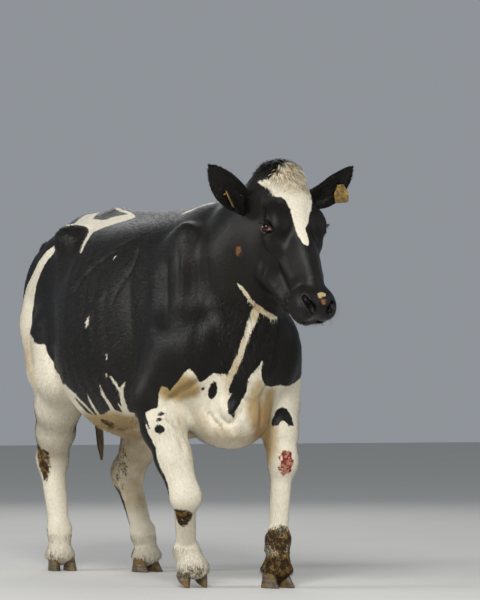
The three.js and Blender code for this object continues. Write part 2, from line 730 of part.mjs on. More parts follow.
// A tag in two halves that are one piece: a plate in the hollow of the ear, a pin, and a disc behind.
function earTag(side, grow = 0) {
  const { along, below, facing, hangs } = tags[side];
  const pinAt = vec(EAR.length * along, -side * EAR.width * below + earDroop(side, along), -8);
  pinAt.applyMatrix4(earFrame(side));
  const out = facing.clone().normalize();
  const plate = new THREE.Shape();
  const [w, h, r] = [TAG.width / 2 + grow, TAG.height + grow, 9];
  plate.moveTo(-w * 0.45, grow + 10);
  plate.lineTo(w * 0.45, grow + 10);
  plate.lineTo(w, -h * 0.35);
  plate.lineTo(w, -h + r);
  plate.absarc(w - r, -h + r, r, 0, -Math.PI / 2, true);
  plate.absarc(-w + r, -h + r, r, -Math.PI / 2, -Math.PI, true);
  plate.lineTo(-w, -h * 0.35);
  const depth = TAG.thick + 2 * grow;
  const front = new THREE.ExtrudeGeometry(plate, { depth, bevelEnabled: false, curveSegments: 3 });
  front.translate(0, 0, 12 - depth / 2);
  const pin = new THREE.CylinderGeometry(4 + grow, 4 + grow, 44, 6).rotateX(Math.PI / 2).translate(0, 0, -9);
  const disc = new THREE.CylinderGeometry(13 + grow, 13 + grow, 4 + 2 * grow, 8).rotateX(Math.PI / 2);
  disc.translate(0, 0, -31);
  const y = hangs.clone().addScaledVector(out, -hangs.dot(out)).normalize().negate();
  const frame = new THREE.Matrix4().makeBasis(y.clone().cross(out), y, out).setPosition(pinAt);
  const parts = [front, pin, disc].map((shape) => solid(shape.applyMatrix4(frame)));
  return parts[0].add(parts[1]).add(parts[2]);
}

function ear(side, headSpace) {
  return solid(earGeometry(side).applyMatrix4(earFrame(side))).subtract(headSpace).subtract(earTag(side, GAP));
}

// ---------------------------------------------------------------- build

const group = new THREE.Group();
const finishes = {
  coat: { color: 0x26221f, roughness: 0.6 },
  horn: { color: 0x4a3d2c, roughness: 0.7 },
  eyeball: { color: 0x1b1210, roughness: 0.15 },
  plastic: { color: 0xd9a520, roughness: 0.5 },
};

function add(name, made, finish) {
  const mesh = new THREE.Mesh(geometryOf(made), new THREE.MeshStandardMaterial({ metalness: 0, ...finishes[finish] }));
  mesh.name = name;
  group.add(mesh);
}

const trunkSpace = trunk(GAP);
const headSpace = head(GAP);
add("trunk", trunk(), "coat");
add("neck", neck(), "coat");
add("head", head(), "coat");
for (const [side, word] of [[LEFT, "left"], [RIGHT, "right"]]) {
  add(`eye_${word}`, eye(side), "eyeball");
  add(`ear_${word}`, ear(side, headSpace), "coat");
  add(`ear_tag_${word}`, earTag(side), "plastic");
}
for (const which of [...foreLegs, ...hindLegs]) {
  const { upper, lower } = leg(which, trunkSpace);
  const [top, bottom] = which.elbow ? ["forearm", "forefoot"] : ["gaskin", "hindfoot"];
  const word = which.side === LEFT ? "left" : "right";
  let flesh = lower;
  for (const part of [LEFT, RIGHT]) {
    flesh = flesh.subtract(claw(which, part, GAP)).subtract(dewclaw(which, part, GAP));
    const place = part === which.side ? "outer" : "inner";
    add(`claw_${which.name}_${place}`, claw(which, part), "horn");
    add(`dewclaw_${which.name}_${place}`, dewclaw(which, part), "horn");
  }
  add(`${top}_${word}`, upper, "coat");
  add(`${bottom}_${word}`, flesh, "coat");
}
add("udder", udder(trunkSpace), "coat");
add("tail", before(taperedTube(tailLine, 10, 8), tailCut).subtract(trunkSpace), "coat");
add("tail_switch", beyond(taperedTube(switchLine, 8, 8), tailCut), "coat");

// The origin is on the floor below the middle of the bounding box.
const bounds = new THREE.Box3().setFromObject(group);
const middle = bounds.getCenter(vec(0, 0, 0));
for (const mesh of group.children) mesh.geometry.translate(-middle.x, -middle.y, -bounds.min.z);

export default group;
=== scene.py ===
"""The looks of a life-size walking Holstein-Friesian cow: skin, coat, eyes, ears, claws and ear tags.

Shapes are laid out in millimetres in the cow's own layout: +x to its left, -y ahead of it and +z up.
They are moved to the model's frame, in metres, when their meshes are made.
"""
import math

import bmesh
import bpy
import numpy as np
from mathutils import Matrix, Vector


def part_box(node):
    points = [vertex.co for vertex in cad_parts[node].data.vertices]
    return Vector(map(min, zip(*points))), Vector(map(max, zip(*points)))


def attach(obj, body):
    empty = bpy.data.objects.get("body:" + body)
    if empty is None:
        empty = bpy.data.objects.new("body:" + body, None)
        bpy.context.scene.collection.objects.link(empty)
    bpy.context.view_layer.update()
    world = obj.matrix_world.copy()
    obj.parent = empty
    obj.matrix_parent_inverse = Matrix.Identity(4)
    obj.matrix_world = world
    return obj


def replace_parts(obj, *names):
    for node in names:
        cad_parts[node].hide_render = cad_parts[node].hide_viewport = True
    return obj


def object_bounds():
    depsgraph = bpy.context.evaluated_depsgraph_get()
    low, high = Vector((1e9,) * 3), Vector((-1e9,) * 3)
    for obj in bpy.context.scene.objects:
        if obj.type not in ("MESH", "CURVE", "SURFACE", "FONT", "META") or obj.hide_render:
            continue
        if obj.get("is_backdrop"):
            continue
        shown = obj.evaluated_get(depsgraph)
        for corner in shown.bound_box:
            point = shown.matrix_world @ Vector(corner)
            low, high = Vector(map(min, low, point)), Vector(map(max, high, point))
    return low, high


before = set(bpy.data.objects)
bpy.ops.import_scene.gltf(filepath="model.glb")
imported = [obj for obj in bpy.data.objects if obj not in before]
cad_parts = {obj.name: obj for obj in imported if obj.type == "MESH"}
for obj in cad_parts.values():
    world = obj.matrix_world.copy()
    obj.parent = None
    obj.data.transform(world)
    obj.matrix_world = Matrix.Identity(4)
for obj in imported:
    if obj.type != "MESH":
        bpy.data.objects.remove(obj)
cad_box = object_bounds()
LEFT, RIGHT = 1, -1
SIDES = {"left": LEFT, "right": RIGHT}
FAR = 1e4

# ---- sizes that the solids share

WITHERS = 1424
HIPS = 1456
HEAD_PITCH = 62
HEAD_TURN = 6
POLL = np.array([60.0, -1030.0, 1556.0])
FACE = 598
EYE = {"x": 113, "down": 233, "out": -59}
EAR = {"length": 228, "width": 110}


def vec(x, y, z):
    return np.array([x, y, z], float)


def unit(v):
    v = np.asarray(v, float)
    return v / np.linalg.norm(v)


def mix(a, b, t):
    return a + (b - a) * t


def smooth(t):
    t = np.clip(t, 0, 1)
    return t * t * (3 - 2 * t)


def turned(x, y, z):
    """The matrix that turns by z, then y, then x degrees."""
    angles = [math.radians(a) for a in (x, y, z)]
    (cx, sx), (cy, sy), (cz, sz) = ((math.cos(a), math.sin(a)) for a in angles)
    about_x = np.array([[1, 0, 0], [0, cx, -sx], [0, sx, cx]])
    about_y = np.array([[cy, 0, sy], [0, 1, 0], [-sy, 0, cy]])
    about_z = np.array([[cz, -sz, 0], [sz, cz, 0], [0, 0, 1]])
    return about_x @ about_y @ about_z


HEAD_AXES = turned(0, 0, HEAD_TURN) @ turned(HEAD_PITCH, 0, 0)


def face(x, down, out):
    """A place in the head's own frame: down the face from the poll, and out of the forehead."""
    return vec(x, -down, out)


def head_point(x, down, out):
    return POLL + HEAD_AXES @ face(x, down, out)


def in_head(p):
    """Points of the layout as x, down and out in the head's frame."""
    q = (p - POLL) @ HEAD_AXES
    return q * np.array([1, -1, 1])


# ---- masses: distances for rows of points


def egg(centre, radii, turn=(0, 0, 0)):
    spin = turned(*turn)
    centre = np.asarray(centre, float)
    radii = np.asarray(radii, float)

    def distance(p):
        q = (p - centre) @ spin / radii
        outer = np.sqrt((q * q).sum(1))
        slope = np.sqrt(((q / radii) ** 2).sum(1))
        return outer * (outer - 1) / np.maximum(slope, 1e-9)

    return distance


def limb(start, end, r0, r1):
    start = np.asarray(start, float)
    along = np.asarray(end, float) - start
    length2 = max(along @ along, 1e-9)

    def distance(p):
        q = p - start
        t = np.clip(q @ along / length2, 0, 1)
        q = q - t[:, None] * along
        return np.sqrt((q * q).sum(1)) - mix(r0, r1, t)

    return distance


def chain(*joints):
    return [limb(a, b, r0, r1) for (a, r0), (b, r1) in zip(joints, joints[1:])]


def column(places, values, y):
    """A smooth curve through one column of a table of sections."""
    i = np.clip(np.searchsorted(places, y) - 1, 0, len(places) - 2)
    last = len(places) - 1

    def slope(k):
        a, b = np.maximum(k - 1, 0), np.minimum(k + 1, last)
        return (values[b] - values[a]) / (places[b] - places[a])

    span = places[i + 1] - places[i]
    t = np.clip((y - places[i]) / span, 0, 1)
    t2, t3 = t * t, t * t * t
    line = (2 * t3 - 3 * t2 + 1) * values[i] + (3 * t2 - 2 * t3) * values[i + 1]
    return line + span * ((t3 - 2 * t2 + t) * slope(i) + (t3 - t2) * slope(i + 1))


def girth(sections):
    table = np.array(sections, float)
    places = table[:, 0]

    def distance(p):
        y = np.clip(p[:, 1], places[0], places[-1])
        top, bottom, half, widest, power = (column(places, table[:, k], y) for k in range(1, 6))
        up = p[:, 2] - widest
        tall = np.where(up > 0, top - widest, widest - bottom)
        size = (np.abs(p[:, 0] / half) ** power + np.abs(up / tall) ** power) ** (1 / power)
        around = np.hypot(p[:, 0], up) * (1 - 1 / np.maximum(size, 1e-6))
        around = np.where(size > 1e-6, around, -np.minimum(half, tall))
        past = np.maximum(places[0] - p[:, 1], p[:, 1] - places[-1])
        return np.where(past > 0, np.hypot(np.maximum(around, 0), past), around)

    return distance


def blend(soft, *masses):
    def distance(p):
        d = masses[0](p)
        for mass in masses[1:]:
            e = mass(p)
            h = np.maximum(soft - np.abs(d - e), 0) / soft
            d = np.minimum(d, e) - h * h * soft / 4
        return d

    return distance


def hollowed(soft, mass, *hollows):
    def distance(p):
        d = mass(p)
        for hollow in hollows:
            e = -hollow(p)
            h = np.maximum(soft - np.abs(d - e), 0) / soft
            d = np.maximum(d, e) + h * h * soft / 4
        return d

    return distance


def near(low, high, mass):
    """The same mass, worked out only inside a box and far away outside it."""
    low, high = np.array(low, float), np.array(high, float)

    def distance(p):
        d = np.full(len(p), FAR)
        inside = np.all((p > low) & (p < high), axis=1)
        if inside.any():
            d[inside] = mass(p[inside])
        return d

    return distance


# ---- legs

LEGS = {
    "fore_left": {
        "side": LEFT,
        "elbow": vec(208, -612, 775),
        "knee": vec(193, -716, 464),
        "fetlock": vec(173, -722, 176),
        "toe": vec(168, -768, 0),
        "lift": 0,
    },
    "fore_right": {
        "side": RIGHT,
        "elbow": vec(-262, -566, 716),
        "knee": vec(-198, -704, 343),
        "fetlock": vec(-131, -566, 133),
        "toe": vec(-119, -606, 0),
        "lift": 30,
    },
    "hind_right": {
        "side": RIGHT,
        "stifle": vec(-236, 450, 800),
        "hock": vec(-160, 790, 462),
        "fetlock": vec(-160, 700, 165),
        "toe": vec(-164, 640, 0),
        "lift": 0,
    },
    "hind_left": {
        "side": LEFT,
        "stifle": vec(226, 410, 780),
        "hock": vec(121, 660, 398),
        "fetlock": vec(124, 490, 160),
        "toe": vec(132, 424, 0),
        "lift": 0,
    },
}


def coronet(leg):
    back, up = 44, 72
    lift = math.radians(leg["lift"])
    behind = back * math.cos(lift) - up * math.sin(lift)
    above = back * math.sin(lift) + up * math.cos(lift)
    return leg["toe"] + vec(0, behind, above)


class Cannon:
    """Places along the cannon bone: t from knee or hock to fetlock, and behind it at right angles."""

    def __init__(self, leg):
        self.top = leg.get("knee", leg.get("hock"))
        self.foot = leg["fetlock"]
        self.shin = unit(self.foot - self.top)
        self.back = unit(vec(0, 1, 0) - self.shin * self.shin[1])

    def at(self, t, behind=0, across=0):
        return self.top + (self.foot - self.top) * t + self.back * behind + vec(across, 0, 0)


def foot_masses(leg, cannon):
    return [
        egg(cannon.at(1, 8), [46, 45, 44]),
        limb(leg["fetlock"], coronet(leg) + vec(0, 4, 0), 41, 47),
        egg(coronet(leg) + vec(0, 8, -4), [56, 56, 32], [leg["lift"], 0, 0]),
    ]


def fore_leg_masses(leg):
    cannon = Cannon(leg)
    at = cannon.at

    def between(t, y=0):
        return mix(leg["elbow"], leg["knee"], t) + vec(0, y, 0)

    return [
        *chain((between(0, 6), 82), (between(0.3, 2), 84), (between(0.62), 68), (leg["knee"], 53)),
        egg(between(0.26, 26), [64, 62, 110], [12, 0, 0]),
        egg(at(-0.02, -6), [56, 50, 60]),
        egg(at(0.04, 34), [27, 24, 32]),
        limb(at(0.08, 4), at(0.92, 4), 41, 35),
        limb(at(0.14, 28), at(0.86, 27), 20, 21),
        *foot_masses(leg, cannon),
    ]


def hock_point(leg):
    return leg["hock"] + Cannon(leg).back * 74 + vec(0, 0, 56)


def hind_leg_masses(leg):
    cannon = Cannon(leg)
    at = cannon.at

    def between(t, y=0, z=0):
        return mix(leg["stifle"], leg["hock"], t) + vec(0, y, z)

    hock, point = leg["hock"], hock_point(leg)
    return [
        *chain((between(0, 20), 98), (between(0.35, 18), 96), (between(0.68, 10), 78), (hock, 60)),
        *chain((between(0.24, 140, 80), 72), (between(0.6, 100, 74), 56), (point, 27)),
        egg(between(0.66, 50, 40), [56, 74, 96], [30, 0, 0]),
        egg(hock, [66, 74, 80]),
        egg(point, [28, 28, 40]),
        limb(at(0.02, 44), at(0.46, 26), 34, 24),
        limb(at(0.06, 6), at(0.92, 4), 52, 42),
        limb(at(0.2, 34), at(0.86, 32), 26, 25),
        *foot_masses(leg, cannon),
    ]


# The flesh of a leg lies within this far of its joints.
LEG_MARGIN = 230


def leg_field(leg):
    fore = "elbow" in leg
    masses = fore_leg_masses(leg) if fore else hind_leg_masses(leg)
    joints = [leg[k] for k in ("elbow", "knee", "stifle", "hock", "fetlock", "toe") if k in leg]
    low = np.min(joints, axis=0) - LEG_MARGIN
    high = np.max(joints, axis=0) + LEG_MARGIN
    return near(low, high, blend(28, *masses))


# ---- trunk

# Sections of the barrel: y, top, bottom, half width, height of the widest place, and squareness.
BARREL = [
    (-850, 1080, 720, 70, 880, 2.0),
    (-800, 1200, 640, 130, 880, 2.0),
    (-720, 1330, 590, 180, 890, 2.1),
    (-580, WITHERS, 570, 232, 890, 2.15),
    (-380, WITHERS - 6, 580, 300, 885, 2.2),
    (-120, WITHERS - 8, 548, 358, 890, 2.25),
    (120, HIPS - 36, 545, 376, 905, 2.3),
    (310, HIPS - 18, 600, 334, 960, 2.3),
    (480, HIPS - 2, 720, 272, 1100, 2.3),
    (660, HIPS - 6, 830, 238, 1160, 2.2),
    (810, HIPS - 20, 900, 190, 1220, 2.1),
    (890, HIPS - 60, 1010, 120, 1230, 2.0),
    (930, HIPS - 130, 1080, 54, 1230, 2.0),
]


def shoulder_masses(leg):
    s = leg["side"]
    return [
        egg([s * 160, -560, 1120], [72, 130, 260], [20, 0, s * -4]),
        egg([s * 178, -690, 890], [74, 105, 160], [-24, 0, 0]),
        egg([s * 150, -768, 925], [62, 60, 90], [10, 0, 0]),
        egg([s * 200, -560, 860], [76, 118, 150]),
        limb([s * 186, -610, 880], leg["elbow"], 104, 92),
    ]


def haunch_masses(leg):
    s, stifle, hock = leg["side"], leg["stifle"], leg["hock"]
    ham = mix(stifle, hock, 0.2) + vec(0, 150, 90)
    return [
        egg([s * 222, 420, 1344], [58, 84, 58], [0, 0, s * -14]),
        egg([s * 126, 906, 1308], [50, 48, 56]),
        egg([s * 184, 640, 1130], [98, 200, 230], [10, 0, 0]),
        egg([s * 182, 810, 1080], [92, 116, 230], [-4, 0, 0]),
        egg([s * 196, 530, 930], [98, 150, 170], [-30, 0, 0]),
        limb([s * 186, 790, 1000], ham, 106, 92),
        limb([s * 202, 560, 960], stifle, 132, 118),
        limb(stifle + vec(0, -60, 10), [s * 262, 300, 900], 34, 26),
    ]


def trunk_field():
    breast = [
        limb([0, -750, 980], [0, -700, 680], 126, 104),
        egg([-14, -706, 628], [92, 130, 90], [-10, 0, 0]),
        egg([0, -660, 612], [112, 150, 66], [-4, 0, 0]),
    ]
    spine = chain(
        (vec(0, -590, WITHERS - 46), 44),
        (vec(0, -200, WITHERS - 56), 46),
        (vec(0, 420, HIPS - 44), 46),
        (vec(0, 760, HIPS - 58), 46),
    )
    tail_head = chain((vec(0, 760, HIPS - 54), 50), (vec(0, 925, HIPS - 72), 38))
    fore = breast + shoulder_masses(LEGS["fore_left"]) + shoulder_masses(LEGS["fore_right"])
    hollows = [egg([s * 372, 322, 1262], [84, 105, 110], [0, 0, s * -20]) for s in (LEFT, RIGHT)]
    return hollowed(
        70,
        blend(
            80,
            girth(BARREL),
            near([-420, -1010, 430], [420, -200, 1560], blend(90, *fore)),
            near([60, 120, 520], [480, 1100, 1560], blend(60, *haunch_masses(LEGS["hind_left"]))),
            near([-480, 120, 520], [-60, 1100, 1560], blend(60, *haunch_masses(LEGS["hind_right"]))),
            near([-200, -760, 1180], [200, 1100, 1640], blend(40, *spine, *tail_head)),
        ),
        *hollows,
    )


# ---- head and neck


def head_side(s):
    return [
        egg(face(s * 85, 218, -32), [42, 60, 34], [0, s * 14, 0]),
        egg(face(s * 82, 270, -78), [36, 48, 34]),
        egg(face(s * 62, 246, -156), [48, 112, 96], [-14, 0, 0]),
        limb(face(s * 50, 284, -79), face(s * 39, 430, -73), 34, 29),
        limb(face(s * 58, 190, -224), face(s * 50, 330, -206), 42, 46),
        limb(face(s * 50, 330, -206), face(s * 32, 480, -158), 46, 38),
        egg(face(s * 45, 552, -58), [36, 56, 44]),
        egg(face(s * 38, 530, -106), [38, 62, 36]),
        egg(face(s * 84, 84, -104), [40, 46, 46]),
    ]


def nostril(s):
    """The hollow of one nostril: a comma that is wide towards the middle and runs out to the side."""
    return [
        egg(face(s * 34, 577, -34), [12, 21, 13]),
        egg(face(s * 47, 566, -26), [11, 19, 9]),
        egg(face(s * 58, 546, -26), [7, 15, 6]),
    ]


def mouth_line():
    line = []
    for s in (LEFT, RIGHT):
        points = [(0, 602, -100), (30, 594, -101), (58, 556, -106), (66, 508, -110), (62, 462, -108)]
        line += chain(*[(face(s * x, down, out), 3.2) for x, down, out in points])
    return line


def head_field():
    masses = blend(
        34,
        egg(face(0, 34, -48), [76, 52, 52]),
        limb(face(0, 60, -76), face(0, 170, -84), 82, 88),
        egg(face(0, 140, -44), [98, 104, 44]),
        *chain((face(0, 210, -72), 74), (face(0, 350, -70), 57), (face(0, 490, -68), 56)),
        limb(face(0, 210, -38), face(0, 460, -36), 42, 34),
        egg(face(0, FACE - 58, -66), [58, 58, 56]),
        limb(face(0, 290, -160), face(0, 470, -136), 74, 48),
        egg(face(0, 522, -142), [46, 66, 34], [-8, 0, 0]),
        *head_side(LEFT),
        *head_side(RIGHT),
    )
    shaped = hollowed(9, masses, *nostril(LEFT), *nostril(RIGHT), *mouth_line())

    def distance(p):
        return shaped((p - POLL) @ HEAD_AXES)

    return distance


def neck_field():
    return blend(
        90,
        *chain((vec(0, -540, 1316), 94), (vec(18, -780, 1372), 80), (head_point(0, 30, -96), 74)),
        *chain((vec(0, -620, 1150), 190), (vec(18, -780, 1230), 150), (head_point(0, 90, -150), 104)),
        *chain((vec(0, -700, 960), 140), (vec(20, -810, 1110), 112), (head_point(0, 190, -236), 72)),
    )


def body_field():
    jaw = head_point(0, 300, -236)
    throat = chain((head_point(0, 160, -226), 80), (jaw, 62), (head_point(0, 430, -178), 44))
    dewlap = chain((head_point(0, 270, -262), 40), (vec(24, -860, 990), 40), (vec(0, -820, 800), 60))
    neck = near([-420, -1320, 560], [460, -260, 1700], blend(50, neck_field(), blend(40, *dewlap)))
    head = near([-420, -1420, 760], [460, -700, 1700], blend(36, head_field(), *throat))
    return blend(60, trunk_field(), neck, head)


# ---- udder and tail

TEATS = [(46, 420), (-42, 424), (42, 540), (-38, 542)]
TAIL = [
    (vec(0, 880, HIPS - 76), 40),
    (vec(2, 950, HIPS - 104), 34),
    (vec(8, 984, HIPS - 210), 27),
    (vec(34, 990, 1040), 22),
    (vec(74, 980, 850), 19),
    (vec(98, 972, 730), 17),
]
SWITCH = [
    (vec(98, 972, 730), 18),
    (vec(106, 968, 670), 32),
    (vec(116, 964, 580), 38),
    (vec(122, 960, 500), 27),
    (vec(126, 958, 442), 7),
]


def arc(a, b, c, d, t):
    """The stretch from b to c of a Catmull-Rom curve."""
    square = (2 * a - 5 * b + 4 * c - d) * t**2
    cube = (3 * b - a - 3 * c + d) * t**3
    return 0.5 * (2 * b + (c - a) * t + square + cube)


def spline(points, count):
    """A smooth curve through points, from the first to the last."""
    points = np.array(points, float)
    ends = np.vstack([2 * points[0] - points[1], points, 2 * points[-1] - points[-2]])
    place = np.linspace(0, len(points) - 1 - 1e-9, count)
    i = place.astype(int)
    return arc(ends[i], ends[i + 1], ends[i + 2], ends[i + 3], (place - i)[:, None])


def tapered(joints, count):
    """A smooth line through joints, and its radius at each step."""
    places, radii = zip(*joints)
    steps = np.linspace(0, len(joints) - 1, count)
    return spline(places, count), np.interp(steps, range(len(joints)), radii)


def tail_field():
    core = chain(*zip(*tapered(TAIL, 16)), (SWITCH[2][0], 9), (SWITCH[3][0], 5))
    return near([-80, 800, 400], [220, 1100, 1500], blend(10, *core))


def udder_field():
    bag = blend(40, egg([-4, 480, 725], [106, 150, 96], [6, 0, 0]), egg([-2, 330, 700], [88, 120, 62]))
    teats = [limb([x, y, 680], [x, y, 606], 16, 11) for x, y in TEATS]
    return near([-240, 120, 540], [240, 740, 900], blend(14, bag, *teats))


# ---- the whole flesh

body = body_field()
legs = {name: leg_field(leg) for name, leg in LEGS.items()}
flesh = blend(36, body, *legs.values(), blend(26, udder_field(), tail_field()))

# ---- a net of quads on the flesh


# The coarser grid's cells are so many times as big, and so much further away still counts as close.
BLOCK = 4
SLACK = 34
# Places that are worked out together.
BATCH = 200000


def field_grid(field, low, high, cell):
    """Field values on a grid, worked out only where a coarser grid says that the surface is close."""
    count = (np.ceil((np.array(high) - low) / cell / BLOCK).astype(int) + 1) * BLOCK
    ticks = [low[k] + cell * BLOCK * np.arange(count[k] // BLOCK + 1) for k in range(3)]
    coarse = np.stack(np.meshgrid(*ticks, indexing="ij"), -1)
    value = field(coarse.reshape(-1, 3)).reshape(coarse.shape[:3])
    for axis in range(3):
        value = np.repeat(value, BLOCK, axis=axis)
    value = value[tuple(slice(BLOCK // 2, BLOCK // 2 + n) for n in count)]
    close = np.argwhere(np.abs(value) < cell * BLOCK * 0.9 + SLACK)
    for part in np.array_split(close, max(1, len(close) // BATCH)):
        value[tuple(part.T)] = field(low + part * cell)
    return value


def net_on(field, low, high, cell):
    """Points and quads of a closed net on a field. Each cell that the surface crosses has one point."""
    low = np.array(low, float)
    value = field_grid(field, low, high, cell)
    shape = np.array(value.shape)
    inside = value < 0
    total = np.zeros((value.size, 3))
    crossings = np.zeros(value.size)
    quads = []
    for a in range(3):
        b, c = (a + 1) % 3, (a + 2) % 3
        step = np.eye(3, dtype=int)
        here = tuple(slice(0, n - 1 if k == a else n) for k, n in enumerate(shape))
        there = tuple(slice(1 if k == a else 0, n) for k, n in enumerate(shape))
        at = np.argwhere(inside[here] != inside[there])
        v0 = value[tuple(at.T)]
        v1 = value[tuple((at + step[a]).T)]
        point = at + (v0 / (v0 - v1))[:, None] * step[a]
        moves = (0, step[b], step[b] + step[c], step[c])
        around = [np.ravel_multi_index((at - move).T, shape) for move in moves]
        for cells in around:
            for k in range(3):
                total[:, k] += np.bincount(cells, point[:, k], value.size)
            crossings += np.bincount(cells, minlength=value.size)
        ring = np.stack(around, 1)
        ring[v0 >= 0] = ring[v0 >= 0][:, ::-1]
        quads.append(ring)
    used = np.flatnonzero(crossings)
    number = np.full(value.size, -1)
    number[used] = np.arange(len(used))
    points = low + cell * total[used] / crossings[used][:, None]
    return points, number[np.concatenate(quads)]


def mesh_from(name, points, faces):
    """A mesh in the model's frame, from points of the layout and faces with as many corners each."""
    mesh = bpy.data.meshes.new(name)
    faces = np.asarray(faces)
    count, corners = faces.shape
    mesh.vertices.add(len(points))
    mesh.loops.add(count * corners)
    mesh.polygons.add(count)
    mesh.vertices.foreach_set("co", to_model(points).astype(np.float32).ravel())
    mesh.loops.foreach_set("vertex_index", faces.astype(np.int32).ravel())
    mesh.polygons.foreach_set("loop_start", np.arange(0, count * corners, corners, dtype=np.int32))
    mesh.update(calc_edges=True)
    return mesh


# The model's origin is under the middle of its box, 137.2 mm ahead of the layout's.
SHIFT = np.array([0, 0.1372, 0])


def to_model(points):
    return np.asarray(points) / 1000 + SHIFT


def to_layout(points):
    return (np.asarray(points) - SHIFT) * 1000


def read(collection, key, width, kind=np.float32):
    values = np.empty(len(collection) * width, kind)
    collection.foreach_get(key, values)
    return values.reshape(-1, width) if width > 1 else values


# How far a point goes towards the middle of its neighbours, and its longest step to the surface.
EASE = 0.35
LONGEST_STEP = 8


class Net:
    """A mesh whose points are moved in numpy and written back."""

    def __init__(self, mesh):
        self.mesh = mesh
        self.points = to_layout(read(mesh.vertices, "co", 3).astype(float))
        self.edges = read(mesh.edges, "vertices", 2, np.int32)
        count = len(self.points)
        self.valence = np.maximum(np.bincount(self.edges.ravel(), minlength=count), 1)[:, None]

    def write(self):
        self.mesh.vertices.foreach_set("co", to_model(self.points).astype(np.float32).ravel())
        self.mesh.update()

    def normals(self):
        self.write()
        return read(self.mesh.vertex_normals, "vector", 3).astype(float)

    def even(self, values):
        """The mean of each point's neighbours."""
        a, b = self.edges.T
        count = len(values)
        out = np.empty_like(values)
        for k in range(values.shape[1]):
            out[:, k] = np.bincount(a, values[b, k], count) + np.bincount(b, values[a, k], count)
        return out / self.valence

    def settle(self, field, depth, rounds, keep=None):
        """Slides the points to a level of the field and evens them out along the surface."""
        moved = np.arange(len(self.points)) if keep is None else np.flatnonzero(keep(self.points))
        for _ in range(rounds):
            normal = self.normals()[moved]
            move = (self.even(self.points) - self.points)[moved] * EASE
            move -= (move * normal).sum(1)[:, None] * normal
            here = self.points[moved]
            distance = field(here) + depth(here)
            step = np.clip(distance, -LONGEST_STEP, LONGEST_STEP)
            self.points[moved] = here + move - normal * step[:, None]


def divide(mesh, keep):
    """Divides the faces whose middles pass a test, once."""
    bm = bmesh.new()
    bm.from_mesh(mesh)
    bm.faces.ensure_lookup_table()
    middles = to_layout(np.array([f.calc_center_median() for f in bm.faces]))
    chosen = np.flatnonzero(keep(middles))
    edges = {e for i in chosen for e in bm.faces[i].edges}
    bmesh.ops.subdivide_edges(bm, edges=list(edges), cuts=1, use_grid_fill=True)
    bmesh.ops.triangulate(bm, faces=[f for f in bm.faces if len(f.verts) > 4])
    bm.to_mesh(mesh)
    bm.free()
    mesh.update()


def coat_depth(p):
    """How far the skin lies inside the solids: more on the body than on the face and the feet."""
    head = smooth((-840 - p[:, 1]) / 120) * smooth((p[:, 2] - 900) / 60)
    foot = smooth((520 - p[:, 2]) / 200)
    return mix(3.2, 1.6, np.maximum(head, foot))


def around_head(p):
    return (p[:, 1] < -905) & (p[:, 2] > 930)


def around_feet(p):
    return p[:, 2] < 330


def from_eyes(down, out):
    return np.hypot(down - EYE["down"] - 4, out - EYE["out"])


def around_features(p):
    down, out = in_head(p).T[1:]
    return around_head(p) & ((down > 490) | (from_eyes(down, out) < 60))


def around_eyes(p):
    x, down, out = in_head(p).T
    return (from_eyes(down, out) < 42) & (np.abs(x) > 66)


# ---- markings: above nought inside a patch


# The greatest distance from an edge that a marking records.
DEEP = 60


def area(*corners):
    """A flat outline, for two columns of places."""
    corners = np.array(corners, float)

    def distance(q):
        nearest = np.full(len(q), FAR)
        odd = np.zeros(len(q), bool)
        for start, end in zip(corners, np.roll(corners, -1, axis=0)):
            way = end - start + 1e-9
            from_start = q - start
            t = np.clip(from_start @ way / (way @ way), 0, 1)
            nearest = np.minimum(nearest, np.linalg.norm(from_start - t[:, None] * way, axis=1))
            crosses = (start[1] > q[:, 1]) != (end[1] > q[:, 1])
            odd ^= crosses & (from_start[:, 0] < from_start[:, 1] * way[0] / way[1])
        return np.where(odd, nearest, -nearest)

    return distance


def seen_from(view, p):
    """Two columns of places as seen from one side, and how far each place is inside that side."""
    x, y, z = p.T
    if view == "face":
        across, down, out = in_head(p).T
        return np.stack([across, down], 1), out + 60
    columns, inside = {
        "right": ((y, z), -x - 40),
        "left": ((y, z), x - 40),
        "both": ((y, z), np.full(len(p), FAR)),
        "front": ((x, z), -y - 640),
        "top": ((x, y), z - 1190),
    }[view]
    return np.stack(columns, 1), inside


def rounded(corners, steps=3):
    """A closed outline with its corners rounded by a curve through them."""
    points = np.array([corners[-1], *corners, *corners[:2]], float)
    t = (np.arange(steps) / steps)[:, None]
    return np.concatenate([arc(*four, t) for four in zip(points, points[1:], points[2:], points[3:])])


def patch(view, *corners):
    corners = rounded(corners)
    shape = area(*corners)
    return flat_mark(view, shape, corners.min(0) - DEEP, corners.max(0) + DEEP)


def band(view, *joints):
    """A stripe drawn on one side of the cow, given as places and half widths."""
    strip = blend(6, *chain(*[((a, b, 0), r) for a, b, r in joints]))
    places = np.array(joints, float)[:, :2]

    def shape(q):
        return -strip(np.column_stack([q, np.zeros(len(q))]))

    return flat_mark(view, shape, places.min(0) - 130, places.max(0) + 130)


def flat_mark(view, shape, low, high):
    def distance(p):
        q, inside = seen_from(view, p)
        value = np.full(len(p), -FAR)
        close = np.all((q > low) & (q < high), axis=1)
        if close.any():
            value[close] = np.minimum(shape(q[close]), inside[close])
        return value

    return distance


def stripe(*joints):
    strip = blend(6, *chain(*[((x, y, z), r) for x, y, z, r in joints]))
    return lambda p: -strip(p)


def face_spot(x, down, out, *radii):
    mass = egg(head_point(x, down, out), radii, (HEAD_PITCH, 0, 0))
    return lambda p: -mass(p)


def spot(x, y, z, *radii):
    mass = egg((x, y, z), radii)
    return lambda p: -mass(p)


